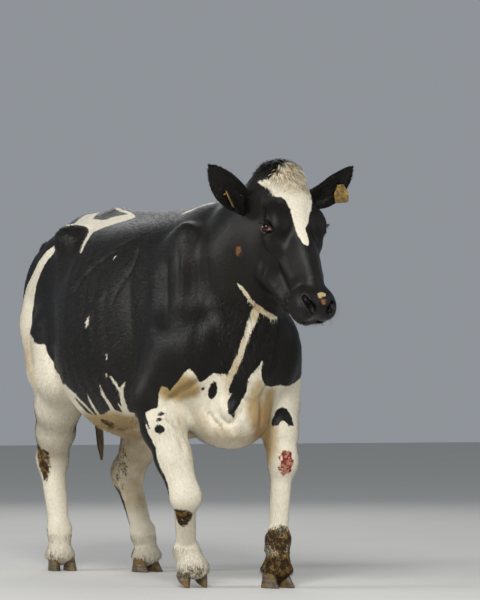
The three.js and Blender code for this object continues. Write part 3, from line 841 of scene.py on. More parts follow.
# Outlines, in the two directions of the view that each is drawn in.
BLAZE = [
    (-14, -14), (-35, 12), (-51, 33), (-74, 47), (-102, 41), (-92, 72), (-78, 96), (-80, 112),
    (-69, 129), (-50, 138), (-39, 165), (-37, 220), (-32, 270), (-22, 322), (-5, 341), (7, 311),
    (4, 270), (22, 248), (39, 210), (58, 180), (80, 139), (88, 88), (78, 48), (62, 15), (43, -3),
    (19, -18),
]
BRISKET = [
    (-340, 660), (-330, 688), (-321, 668), (-312, 642), (-290, 668), (-284, 745), (-268, 748),
    (-254, 734), (-239, 767), (-221, 812), (-206, 806), (-178, 771), (-165, 770), (-144, 790),
    (-126, 800), (-105, 794), (-88, 790), (-72, 690), (-60, 660), (-40, 735), (-14, 790), (16, 824),
    (34, 846), (30, 806), (36, 778), (60, 756), (102, 750), (148, 756), (191, 752), (239, 764),
    (330, 770), (330, 380), (-330, 380),
]
THIGH = [
    (734, 1080), (716, 1050), (700, 1004), (640, 975), (569, 956), (535, 935), (490, 923), (443, 919),
    (423, 890), (363, 850), (321, 810), (222, 768), (122, 744), (60, 640), (100, 560), (330, 590),
    (480, 300), (480, -10), (1000, -10), (1000, 900), (850, 1010), (790, 1060),
]
HIP = [
    (-240, 424), (-214, 384), (-186, 330), (-202, 262), (-196, 226), (-174, 192), (-148, 156),
    (-110, 136), (-70, 104), (-48, 180), (-32, 260), (-22, 340), (-20, 410), (-33, 410), (-39, 330),
    (-48, 258), (-54, 226), (-68, 276), (-86, 312), (-110, 332), (-114, 400), (-108, 466), (-74, 520),
    (-38, 572), (10, 640), (16, 725), (-79, 708), (-152, 590),
]
FORELEG_REAR = [
    (-470, 760), (-560, 740), (-592, 690), (-620, 660), (-634, 600), (-648, 545), (-662, 500),
    (-676, 440), (-692, 380), (-690, 340), (-640, 320), (-560, 340), (-480, 480),
]
BELLY = [
    (-560, 606), (-470, 588), (-390, 574), (-330, 580), (-300, 640), (-245, 662), (-228, 690),
    (-215, 655), (-160, 662), (-70, 645), (20, 640), (80, 660), (150, 700), (240, 690), (300, 620),
    (600, 560), (600, 400), (-560, 400),
]

WHITES = [
    # the forehead, the muzzle, the throat and the neck
    patch("face", *BLAZE),
    face_spot(6, 535, -6, 17, 9, 26),
    face_spot(-4, 541, -6, 8, 9, 26),
    stripe((-84, -920, 1128, 3), (-68, -926, 1108, 6), (-54, -930, 1088, 7), (-28, -931, 1056, 8),
           (12, -932, 1027, 9), (57, -919, 1006, 9), (90, -895, 1002, 6)),
    stripe((-12, -926, 1024, 17), (-21, -912, 987, 15), (-32, -898, 948, 12), (-41, -886, 914, 11),
           (-53, -877, 866, 11), (-71, -864, 818, 12), (-86, -841, 774, 14), (-100, -818, 719, 18),
           (-105, -802, 671, 22)),
    # the brisket, the fore legs, the belly and the udder
    patch("front", *BRISKET),
    patch("both", (-1000, 700), (-760, 700), (-700, 690), (-600, 640), (-480, 560), (-480, -10),
          (-1000, -10)),
    patch("both", *BELLY),
    lambda p: np.minimum(np.minimum(p[:, 1] - 250, 742 - p[:, 2]), 118 - np.abs(p[:, 0] - 60)),
    # the flames that rise from the belly, the right thigh and the rump
    band("right", (-225, 630, 16), (-262, 684, 12), (-296, 736, 8), (-332, 764, 4)),
    band("right", (-290, 722, 8), (-276, 760, 8), (-258, 790, 3)),
    band("right", (-158, 640, 15), (-171, 688, 11), (-164, 720, 10), (-170, 756, 3)),
    band("right", (-24, 630, 13), (-40, 680, 9), (-47, 724, 3)),
    band("right", (150, 752, 12), (63, 712, 10), (22, 676, 9), (10, 640, 9)),
    patch("right", *THIGH),
    band("right", (490, 1330, 6), (540, 1308, 20), (590, 1280, 27), (650, 1230, 38), (700, 1180, 50),
         (745, 1130, 60), (775, 1080, 66), (785, 1030, 72), (780, 980, 80)),
    band("right", (846, 1262, 4), (862, 1225, 8), (872, 1180, 4)),
    # the right hip, and small marks on the ribs and the crest
    patch("top", *HIP),
    stripe((-188, 268, 1376, 20), (-209, 246, 1360, 17), (-232, 220, 1338, 15), (-252, 196, 1316, 14),
           (-281, 155, 1283, 6)),
    stripe((-283, -168, 1231, 2), (-271, -175, 1253, 6), (-260, -180, 1271, 2)),
    stripe((-360, -94, 973, 2), (-356, -107, 996, 9), (-352, -120, 1018, 3)),
    stripe((-70, -400, 1418, 16), (-48, -460, 1430, 22), (-20, -545, 1441, 24), (20, -600, 1446, 16)),
    band("right", (-247, 858, 2), (-249, 874, 3)),
    band("right", (-231, 786, 2), (-232, 800, 3)),
    # the left side
    patch("left", (340, 640), (290, 700), (262, 790), (196, 846), (214, 912), (176, 972), (112, 956),
          (70, 1032), (4, 1004), (-52, 944), (-22, 884), (-76, 836), (-62, 768), (-130, 730),
          (-170, 640)),
    patch("left", (-236, 1400), (-320, 1344), (-372, 1262), (-338, 1206), (-392, 1130), (-334, 1060),
          (-262, 1084), (-240, 1150), (-176, 1190), (-206, 1262), (-152, 1330), (-176, 1390)),
    patch("left", (880, 1250), (806, 1306), (716, 1296), (664, 1330), (612, 1290), (668, 1240),
          (706, 1216), (764, 1164), (770, 1060), (826, 960), (900, 1000)),
    patch("left", (150, 640), (300, 690), (420, 640), (520, 600), (620, 640), (760, 560), (760, -40),
          (150, -40)),
    band("left", (700, 700, 12), (690, 640, 20), (660, 590, 30)),
]
# Black marks inside the white: on the brisket, and down the right fore leg.
BLACKS = [
    stripe((-20, -866, 770, 12), (-45, -852, 730, 22), (-62, -838, 690, 22), (-68, -830, 660, 14),
           (-60, -830, 640, 7)),
    spot(-127, -798, 736, 13, 60, 33),
    spot(-157, -784, 742, 6, 40, 6),
    lambda p: np.minimum(patch("right", *FORELEG_REAR)(p), -150 - p[:, 0]),
    stripe((-340, -590, 706, 20), (-334, -608, 672, 13), (-328, -626, 634, 7), (-320, -650, 596, 3)),
    spot(-300, -680, 593, 30, 16, 18),
    spot(-300, -674, 628, 30, 7, 8),
    spot(-292, -672, 650, 30, 7, 9),
]
# Black marks on the hind legs.
HOCK_PATCHES = [
    stripe((64, 660, 330, 18), (80, 640, 300, 30), (88, 610, 262, 34), (90, 580, 224, 26)),
    stripe((88, 572, 220, 16), (84, 548, 180, 16), (80, 520, 130, 16), (76, 490, 84, 14)),
    spot(-226, 704, 484, 30, 12, 14),
]


def behind(p):
    """The black between the thighs, seen from behind."""
    edge = area((70, 1240), (-215, 1240), (-208, 1020), (-176, 962), (-140, 990), (-104, 922),
                (-76, 860), (-98, 806), (-44, 742), (30, 716), (64, 800), (48, 900), (84, 1010),
                (52, 1120))
    return np.minimum(edge(p[:, [0, 2]]), p[:, 1] - 790)


def arch(p):
    """The black arch on the left forearm."""
    outer = spot(186, -737, 602, 42, 90, 70)(p)
    inner = spot(185, -737, 560, 27, 90, 62)(p)
    return np.minimum(np.minimum(outer, -inner), p[:, 2] - 604)


def white_at(p):
    """How far a place is inside the white, or below nought in the black."""
    value = np.full(len(p), -FAR)
    for mark in WHITES:
        value = np.maximum(value, mark(p))
    for mark in [*BLACKS, *HOCK_PATCHES, arch, behind]:
        value = np.minimum(value, -mark(p))
    return np.clip(value, -DEEP, DEEP)


def fade(mass, width):
    """One inside a mass, running out to nought over a width around it."""
    return lambda p: smooth(0.5 - mass(p) / width)


def blots(*rows, at=vec):
    """Blots with soft edges: each has a place, radii, the width of its edge and its strength."""
    return [(egg(at(*place), radii), width, strength) for place, radii, width, strength in rows]


# Dried mud, yellow stains, a sore on the left knee, and hair that is tan. Some of the mud, stain and
# tan is painted shade: on the left hind leg under the belly, and between the brisket and the left fore
# leg.
MUD_AND_SHADE = blots(
    ((-214, -704, 254), (56, 60, 60), 40, 0.84),
    ((-150, -690, 250), (34, 60, 40), 50, 0.35),
    ((172, -745, 178), (90, 70, 62), 60, 0.78),
    ((172, -745, 90), (90, 130, 60), 60, 0.84),
    ((172, -760, 30), (100, 150, 40), 50, 0.95),
    ((-122, -600, 50), (90, 130, 56), 60, 0.62),
    ((-222, 742, 446), (40, 46, 120), 40, 0.8),
    ((-226, 744, 130), (34, 56, 80), 50, 0.75),
    ((-164, 680, 50), (100, 130, 50), 70, 0.6),
    ((132, 450, 50), (100, 130, 50), 70, 0.5),
    # partly painted shade: mottled mud that darkens the rear of the left hind leg, as under the belly
    ((70, 610, 270), (50, 60, 80), 60, 0.42),
    ((-238, -28, 608), (46, 44, 24), 40, 0.95),
    ((-222, -80, 590), (60, 150, 26), 50, 0.55),
    # partly painted shade: mottled mud that darkens the left hind leg above the hock, as under the
    # belly
    ((60, 610, 420), (60, 70, 150), 60, 0.56),
)
STAIN_AND_SHADE = blots(
    # painted shade: the left hind leg made darker cream, as in the shade of the belly
    ((110, 560, 480), (120, 220, 270), 160, 0.5),
    ((-235, -20, 610), (90, 330, 60), 90, 0.9),
    ((0, -40, 560), (300, 420, 70), 160, 0.7),
    ((-10, -780, 760), (30, 120, 150), 120, 0.45),
    # painted shade: these three rows turn the white brown between the brisket and the left fore leg, on
    # its inner side
    ((84, -760, 640), (50, 120, 130), 100, 1.15),
    ((24, -850, 690), (44, 60, 110), 60, 0.75),
    ((116, -700, 560), (40, 120, 120), 90, 1.05),
    ((-240, -730, 740), (80, 100, 60), 60, 1.05),
    ((-214, -740, 650), (26, 60, 130), 60, 0.75),
    ((-240, 660, 850), (140, 200, 130), 200, 0.62),
    ((-190, 760, 560), (110, 130, 160), 160, 0.42),
    ((-20, -926, 1050), (110, 40, 90), 60, 0.5),
    ((-76, -860, 850), (60, 60, 190), 60, 0.65),
    ((-140, -720, 560), (60, 60, 150), 120, 0.4),
    ((-60, -790, 570), (120, 60, 60), 90, 0.5),
)
STAIN_AND_SHADE += blots(
    ((5, 536, -6), (34, 30, 40), 20, 0.75),
    ((20, 60, 0), (90, 90, 80), 60, 0.35),
    at=head_point,
)
SORE = blots(((182, -771, 468), (32, 60, 53), 50, 1.0))
TAN_AND_SHADE = blots(
    ((-86, -948, 1245), (9, 40, 22), 20, 0.52),
    # painted shade: brown between the brisket and the left fore leg
    ((46, -820, 610), (40, 60, 90), 70, 0.45),
    ((-95, 0, 560), (90, 300, 30), 80, 0.2),
)
TAN_AND_SHADE += blots(((8, 562, -12), (11, 20, 12), 24, 0.62), at=head_point)


def strongest(blotches, p):
    value = np.zeros(len(p))
    for mass, width, strength in blotches:
        value = np.maximum(value, fade(mass, width)(p) * strength)
    return value


def nose_pad(p):
    """The bare pad of the nose with the lips: a distance, above nought inside it."""
    x, down, out = in_head(p).T
    half = [(30, 532), (66, 528), (80, 560), (60, 640)]
    pad = area((0, 524), *half, *[(-x, down) for x, down in half[::-1]])
    return np.minimum(pad(np.stack([x, down], 1)), np.minimum(out + 96, 60))


def bare_at(p):
    """Where the skin is bare: the black of the nose, without its two pale spots, and the udder."""
    pale = np.maximum(face_spot(5, 536, -6, 25, 18, 30)(p), face_spot(5, 564, -12, 22, 20, 30)(p))
    nose = np.minimum(nose_pad(p), -pale)
    udder = -blend(20, egg([-4, 480, 700], [90, 130, 92]), egg([-2, 330, 680], [74, 104, 56]))(p)
    return smooth(0.5 + nose / 10), smooth(0.5 + udder / 30)


# ---- ears

# Each ear's root on the head, the way it points, the way its hollow faces, and its droop.
EARS = {
    LEFT: ((106, 80, -110), (0.85, -0.25, 0.58), (-0.1, -0.85, -0.5), 28),
    RIGHT: ((-112, 110, -136), (-0.73, -0.08, 0.68), (-0.3, -0.95, -0.1), 9),
}


def ear_axes(side):
    """An ear's own axes: along it, up across the leaf, and out of its hollow."""
    way, hollow = EARS[side][1:3]
    along = unit(way)
    out = unit(hollow - along * (hollow @ along))
    return np.array([along, np.cross(out, along), out])


def from_ear(side, points):
    return head_point(*EARS[side][0]) + points @ ear_axes(side)


def ear_surfaces(side, t, k):
    """The back and the hollow of the leaf in its own axes.

    t goes along it from 0 to 1, and k across it from -0.5 to 0.5.
    """
    half = EAR["width"] / 2 * np.sin(np.pi * (0.17 + 0.8 * t**1.15)) ** 0.8
    half = half * np.sqrt(1 - np.clip((t - 0.88) / 0.121, 0, 1) ** 2)
    curl = np.radians(mix(230, 80, np.clip(1.7 * t, 0, 1)))
    radius = np.where(curl > np.pi, half, half / np.sin(curl / 2))
    ridges = 1.3 * np.sin(k * 34) * np.sin(np.pi * np.clip(t * 1.1, 0, 1)) * np.cos(k * np.pi)
    thick = mix(14, 5, t) * (1 - 0.82 * np.abs(2 * k) ** 4)

    def leaf(inset):
        lift = radius - (radius - inset) * np.cos(curl * k) - 30 * (1 - t) - 10 * t
        droop = -side * EARS[side][3] * np.sin(np.pi * t)
        up = (radius - inset) * np.sin(curl * k) + droop
        return np.stack([EAR["length"] * t + 0 * k, up, lift], -1)

    return leaf(0 * k), leaf(thick + ridges)


def outward(points, faces):
    """The faces, all turned so that the closed shape has its outside out."""
    a, b, c = (points[faces[:, i]] for i in range(3))
    volume = (a * np.cross(b, c)).sum()
    if faces.shape[1] == 4:
        volume += (a * np.cross(c, points[faces[:, 3]])).sum()
    return faces if volume > 0 else faces[:, ::-1]


EAR_ROWS, EAR_COLUMNS = 46, 22
EAR_POINTS = EAR_ROWS * EAR_COLUMNS * 2


def ear_mesh(side):
    t = np.linspace(0, 1, EAR_ROWS)[:, None]
    k = np.linspace(-0.5, 0.5, EAR_COLUMNS)[None, :]
    back, hollow = ear_surfaces(side, t, k)
    rings = np.concatenate([back, hollow[:, ::-1]], axis=1)
    around = 2 * EAR_COLUMNS
    ring_starts = np.arange(EAR_ROWS - 1)[:, None] * around
    first = (ring_starts + np.arange(around)).ravel()
    following = (ring_starts + (np.arange(around) + 1) % around).ravel()
    walls = np.stack([first, following, following + around, first + around], 1)
    j = np.arange(EAR_COLUMNS - 1)
    cap = np.stack([j, around - 1 - j, around - 2 - j, j + 1], 1)
    far_cap = cap[:, ::-1] + (EAR_ROWS - 1) * around
    points = from_ear(side, rings.reshape(-1, 3))
    return mesh_from("ear", points, outward(points, np.concatenate([walls, cap, far_cap])))


# ---- eyes

EYEBALL = 22.4
CORNEA = {"radius": 14.5, "height": 1.3}
PUPIL = (6.6, 3.6)
SLIT = {"half": 25, "upper": 12.5, "lower": 11}


def eye_place(side):
    """The middle of an eyeball and its axes: along the slit to its inner corner, up, and outwards."""
    out = unit(HEAD_AXES @ face(side * 0.80, 0.12, 0.58))
    along = HEAD_AXES @ face(-side * 0.5, 0.64, 0.57)
    along = unit(along - out * (along @ out))
    middle = head_point(side * EYE["x"], EYE["down"], EYE["out"])
    return middle, np.array([along, np.cross(along, out) * side, out])


def in_eye(side, points):
    """Points in an eyeball's own axes: along the slit, up, and out of the head."""
    middle, axes = eye_place(side)
    return ((points - middle) @ axes.T).T


def lid_radius(rise):
    """The radius of a lid's edge, an arc over the slit that rises by so much in the middle."""
    return (SLIT["half"] ** 2 + rise**2) / (2 * rise)


def from_slit(u, v):
    """How far a place is outside the slit between the lids."""
    distance = np.full(np.shape(u), -FAR)
    for rise, way in ((SLIT["upper"], 1), (SLIT["lower"], -1)):
        radius = lid_radius(rise)
        distance = np.maximum(distance, np.hypot(u, v - way * (rise - radius)) - radius)
    return distance


def shape_lids(points):
    """Sinks the skin behind the eyeball in the slit, and folds it round the ball as lids outside."""
    for side in (LEFT, RIGHT):
        u, v, w = in_eye(side, points)
        close = (np.hypot(u, v) < 48) & (w > -10)
        u, v, w = u[close], v[close], w[close]
        outside = from_slit(u, v)
        ball = np.sqrt(np.maximum(EYEBALL**2 - u * u - v * v, 0))
        upper = smooth(v / 6 + 0.5)
        lid = ball + mix(2.6, 3.6, upper)
        lid = lid - mix(1.6, 2.6, upper) * np.exp(-(((outside - mix(6.5, 8, upper)) / 2.2) ** 2))
        lid = lid + mix(1.4, 2.2, upper) * np.exp(-(((outside - mix(10.5, 13, upper)) / 3.2) ** 2))
        wrapped = mix(lid, np.maximum(w, 0), smooth((outside - 4) / 13))
        sunk = wrapped - 9 * smooth(-(outside + 0.2) / 2.2)
        points[close] += (sunk - w)[:, None] * eye_place(side)[1][2]


def eyeball(side):
    middle, axes = eye_place(side)
    bm = bmesh.new()
    bmesh.ops.create_uvsphere(bm, u_segments=64, v_segments=48, radius=EYEBALL)
    ball = np.array([v.co for v in bm.verts])
    ring = np.hypot(ball[:, 0], ball[:, 1])
    bulge = CORNEA["height"] * smooth((CORNEA["radius"] - ring) / 5)
    ball[:, 2] += np.where(ball[:, 2] > 0, bulge, 0)
    front = ball[:, 2] > 0
    for v, place in zip(bm.verts, to_model(middle + ball @ axes)):
        v.co = place
    mesh = bpy.data.meshes.new("eyeball")
    bm.to_mesh(mesh)
    bm.free()
    if side == RIGHT:
        mesh.flip_normals()
    pupil = np.hypot(ball[:, 0] / PUPIL[0], ball[:, 1] / PUPIL[1])
    corner = smooth((ball[:, 0] - 13) / 5)
    paint(mesh, pupil=pupil * front + ~front * 9, iris=ring + ~front * 30, corner=corner * front)
    return mesh


# ---- folds: width, height and course


def mirrored(folds):
    """The same folds on the other side."""
    return [(width, height, [(-x, b, c) for x, b, c in course]) for width, height, course in folds]


def from_head(folds):
    """The same folds, given in the head's frame."""
    return [(width, height, [head_point(*p) for p in course]) for width, height, course in folds]


FACE_FOLDS = [
    (6, -3.2, [(-106, 296, -92), (-100, 322, -134), (-98, 366, -198)]),
    (6, -3.0, [(-104, 258, -128), (-109, 286, -166), (-104, 324, -238)]),
    (6, -3.0, [(-84, 384, -98), (-78, 424, -138), (-62, 444, -188)]),
    (5, -3.4, [(-81, 432, -78), (-77, 470, -52), (-67, 512, -29)]),
    (9, 3.0, [(-96, 276, -70), (-84, 340, -82), (-70, 420, -78)]),
    (3.4, 1.7, [(-92, 280, -46), (-74, 350, -44), (-60, 440, -40), (-52, 500, -30)]),
    (6, -2.4, [(-62, 520, -60), (-72, 500, -84), (-74, 470, -100)]),
    (8, -3.0, [(-60, 150, 0), (-82, 176, -18), (-100, 190, -44)]),
    (4, -1.6, [(-50, 170, 2), (-76, 196, -10), (-98, 206, -34)]),
]
BODY_FOLDS = [
    (10, -5.0, [(-212, -655, 1275), (-208, -668, 1180), (-220, -682, 1060)]),
    (9, -5.0, [(-185, -717, 1210), (-186, -727, 1120), (-198, -749, 1033)]),
    (9, -5.5, [(-169, -746, 1225), (-170, -750, 1140), (-176, -758, 1060)]),
    (9, -4.5, [(-146, -800, 1240), (-150, -796, 1150), (-156, -786, 1060), (-160, -780, 980)]),
    (26, -10.0, [(-222, -590, 1250), (-242, -613, 1073), (-271, -684, 950)]),
    (28, 7.0, [(-232, -510, 1260), (-262, -540, 1075), (-298, -632, 923)]),
    (22, 5.0, [(-200, -672, 1240), (-214, -690, 1080), (-230, -720, 960)]),
    (34, -8.0, [(-212, -300, 1311), (-268, -330, 1194), (-300, -380, 1060), (-318, -430, 920)]),
    (14, -5.0, [(-330, -420, 960), (-325, -500, 820), (-300, -560, 740)]),
]
WHORL = [(4, -4.5, [(-10, 124, 10), (8, 120, 12), (34, 123, 9)])]
BRISKET_FOLDS = [
    (10, -15.0, [(-264, -667, 678), (-239, -674, 708), (-221, -707, 730), (-208, -735, 745),
                 (-195, -769, 759), (-177, -792, 782)]),
    (18, 13.0, [(-276, -668, 750), (-246, -672, 744), (-224, -704, 766), (-208, -742, 782),
                (-192, -780, 796)]),
    (9, -13.0, [(-278, -680, 641), (-248, -696, 612), (-226, -700, 582), (-212, -706, 545),
                (-209, -717, 508)]),
    (9, -8.0, [(-197, -688, 589), (-173, -690, 530), (-163, -689, 507)]),
    (10, -14.0, [(-138, -757, 663), (-120, -772, 627), (-97, -794, 597), (-70, -787, 567)]),
    (10, -14.0, [(-112, -790, 656), (-94, -805, 627), (-70, -823, 612), (-47, -844, 642),
                 (-25, -849, 671)]),
    (22, 12.0, [(-104, -806, 690), (-76, -826, 660), (-52, -846, 680)]),
    (20, 10.0, [(-120, -790, 590), (-60, -806, 575), (-20, -804, 575)]),
    (10, -15.0, [(51, -843, 704), (56, -832, 645), (47, -816, 597), (44, -790, 550)]),
    (15, 8.0, [(24, -856, 716), (28, -846, 650), (20, -826, 600)]),
    (8, -6.0, [(-8, -866, 719), (-2, -853, 664), (-13, -840, 608), (-21, -804, 560)]),
    (9, -7.0, [(-20, -926, 1010), (-52, -896, 930), (-92, -850, 830), (-112, -820, 740)]),
    (8, -6.0, [(14, -920, 1010), (-6, -890, 900), (-30, -868, 790)]),
    (7, -5.0, [(-90, -940, 1130), (-40, -944, 1080), (30, -940, 1040), (80, -920, 1024)]),
    (7, -5.0, [(-80, -916, 1100), (-30, -922, 1046), (34, -916, 996)]),
    (9, 4.0, [(-360, 120, 1087), (-299, -45, 1234), (-199, -272, 1331)]),
    (11, -5.0, [(-366, 100, 1040), (-322, -20, 1190), (-240, -220, 1300)]),
    (11, -5.0, [(-324, -247, 1039), (-299, -286, 1126), (-261, -324, 1213), (-218, -309, 1298)]),
    (16, 5.0, [(-375, 26, 913), (-365, -56, 970), (-331, -180, 1083), (-311, -201, 1148)]),
    (20, -9.0, [(-330, 250, 1000), (-320, 330, 900), (-290, 380, 800)]),
    (16, 7.0, [(-290, 420, 990), (-296, 380, 880), (-276, 340, 780)]),
    (20, -9.0, [(330, 250, 1000), (320, 330, 900), (290, 380, 800)]),
]


RIB_PITCH = 74
RIB_SLANT = 0.24
RIB_HEIGHT = 1.2


def ribs(p):
    """The slight swell of each rib along the barrel."""
    y, z = p.T[1:]
    along = (y + RIB_SLANT * (1200 - z)) / RIB_PITCH
    share = smooth((y + 330) / 160) * smooth((330 - y) / 160)
    share = share * smooth((z - 640) / 160) * smooth((1360 - z) / 130)
    return RIB_HEIGHT * np.cos(2 * np.pi * along) * share


def crease(net):
    """Raises and sinks the skin along its folds."""
    normal = net.normals()
    folds = from_head(FACE_FOLDS + mirrored(FACE_FOLDS) + WHORL)
    folds += BODY_FOLDS + mirrored(BODY_FOLDS) + BRISKET_FOLDS
    rise = ribs(net.points)
    for width, height, course in folds:
        line = spline(course, 14)
        reach = width * 2.6
        low, high = line.min(0) - reach, line.max(0) + reach
        at = np.flatnonzero(np.all((net.points > low) & (net.points < high), axis=1))
        if len(at):
            places = net.points[at]
            far = np.min([part(places) for part in chain(*[(p, 0) for p in line])], axis=0)
            whole = line[-1] - line[0]
            t = np.clip((places - line[0]) @ whole / (whole**2).sum(), 0, 1)
            ends = smooth(t * 6) * smooth((1 - t) * 6) * 0.8 + 0.2
            rise[at] += height * ends * np.exp(-((far / width) ** 2))
    net.points += normal * rise[:, None]


# ---- marks carried by skin and coat alike


def paint(mesh, repeat=1, /, **layers):
    """Stores numbers on a mesh's points for its material."""
    for name, values in layers.items():
        layer = mesh.attributes.new(name, "FLOAT", "POINT")
        layer.data.foreach_set("value", np.repeat(np.asarray(values, np.float32), repeat))


def marks_at(p):
    nose, udder = bare_at(p)
    legness = smooth((760 - p[:, 2]) / 160)
    return {
        "white": white_at(p),
        "mud": strongest(MUD_AND_SHADE, p),
        "stain_and_shade": strongest(STAIN_AND_SHADE, p),
        "tan_and_shade": strongest(TAN_AND_SHADE, p),
        "sore": strongest(SORE, p),
        "nose": nose,
        "udder": udder,
        "leg": legness,
    }


# ---- the skin

SKIN_BOX = ([-450, -1340, 10], [450, 1060, 1620])
SKIN_CELL = 12
EDGE = 5


def along_edges(p):
    """Beside the edges of the markings, away from the head and the feet, which are fine already."""
    return (np.abs(white_at(p)) < EDGE) & ~around_head(p) & ~around_feet(p)


skin_mesh = mesh_from("skin", *net_on(flesh, *SKIN_BOX, SKIN_CELL))
skin = Net(skin_mesh)
skin.settle(flesh, coat_depth, 3)
skin.write()
for part in (around_head, around_feet, around_features, around_eyes):
    divide(skin_mesh, part)
    skin = Net(skin_mesh)
    skin.settle(flesh, coat_depth, 2, part)
    skin.write()
divide(skin_mesh, along_edges)
skin = Net(skin_mesh)
crease(skin)
shape_lids(skin.points)
skin.write()


def join(mesh, *others):
    bm = bmesh.new()
    for part in (mesh, *others):
        bm.from_mesh(part)
    bm.to_mesh(mesh)
    bm.free()
    for part in others:
        bpy.data.meshes.remove(part)


EAR_START = len(skin_mesh.vertices)
join(skin_mesh, ear_mesh(LEFT), ear_mesh(RIGHT))
skin_mesh.update()
skin_mesh.shade_smooth()


# ---- materials


def shade(r, g, b):
    """A colour from screen values of 0 to 255."""
    values = [c / 255 for c in (r, g, b)]
    return tuple(c / 12.92 if c < 0.04045 else ((c + 0.055) / 1.055) ** 2.4 for c in values) + (1,)


class Paint:
    """A material whose nodes are added and joined in short calls."""

    def __init__(self, name, **settings):
        self.material = bpy.data.materials.new(name)
        self.material.use_nodes = True
        self.tree = self.material.node_tree
        self.shader = self.tree.nodes["Principled BSDF"]
        for key, value in settings.items():
            self.shader.inputs[key.replace("_", " ")].default_value = value

    def feed(self, node, slot, value):
        if isinstance(value, bpy.types.NodeSocket):
            self.tree.links.new(value, node.inputs[slot])
        elif value is not None:
            node.inputs[slot].default_value = value

    def node(self, kind, inputs, **settings):
        node = self.tree.nodes.new("ShaderNode" + kind)
        for key, value in settings.items():
            setattr(node, key, value)
        for slot, value in inputs.items():
            self.feed(node, slot, value)
        return node

    def attribute(self, name):
        return self.node("Attribute", {}, attribute_name=name).outputs["Fac"]

    def place(self, stretch=(1, 1, 1)):
        where = self.node("TexCoord", {}).outputs["Object"]
        return self.node("Mapping", {"Vector": where, "Scale": stretch}).outputs[0]

    def noise(self, scale, detail=3, stretch=(1, 1, 1), rough=0.55):
        inputs = {"Vector": self.place(stretch), "Scale": scale, "Detail": detail, "Roughness": rough}
        return self.node("TexNoise", inputs).outputs[0]

    def cells(self, scale):
        inputs = {"Vector": self.place(), "Scale": scale}
        return self.node("TexVoronoi", inputs).outputs["Distance"]

    def math(self, kind, *values):
        return self.node("Math", dict(enumerate(values)), operation=kind).outputs[0]

    def add(self, a, b):
        return self.math("ADD", a, b)

    def times(self, a, b):
        return self.math("MULTIPLY", a, b)

    def less(self, a, b):
        return self.math("SUBTRACT", a, b)

    def between(self, value, low, high):
        """Nought below low and one above high."""
        inputs = {"Value": value, "From Min": low, "From Max": high}
        return self.node("MapRange", inputs, interpolation_type="SMOOTHSTEP").outputs[0]

    def mix(self, share, a, b, kind="MIX"):
        inputs = {0: share, 6: a, 7: b}
        return self.node("Mix", inputs, data_type="RGBA", blend_type=kind).outputs[2]

    def level(self, share, a, b):
        return self.node("Mix", {0: share, 2: a, 3: b}, data_type="FLOAT").outputs[0]

    def finish(self, colour, roughness, height, depth):
        """Joins the ends to the shader. The bumps of `height` are `depth` metres high."""
        self.feed(self.shader, "Base Color", colour)
        self.feed(self.shader, "Roughness", roughness)
        bump = self.node("Bump", {"Height": height, "Distance": depth, "Strength": 1.0})
        self.feed(self.shader, "Normal", bump.outputs[0])
        return self.material


BLACK_HAIR = shade(13, 12, 10)
BROWN_HAIR = shade(27, 23, 17)
WHITE_HAIR = shade(231, 223, 202)
CREAM_HAIR = shade(172, 146, 100)
MUD_BROWN = shade(54, 39, 22)
DRY_MUD = shade(146, 114, 62)
ORANGE_TAN = shade(134, 88, 48)
SORE_SKIN = shade(178, 126, 104)
SCAB = shade(104, 70, 46)
RAW_RED = shade(132, 38, 32)
PINK_SKIN = shade(214, 164, 146)
NOSE_BLACK = shade(24, 22, 22)


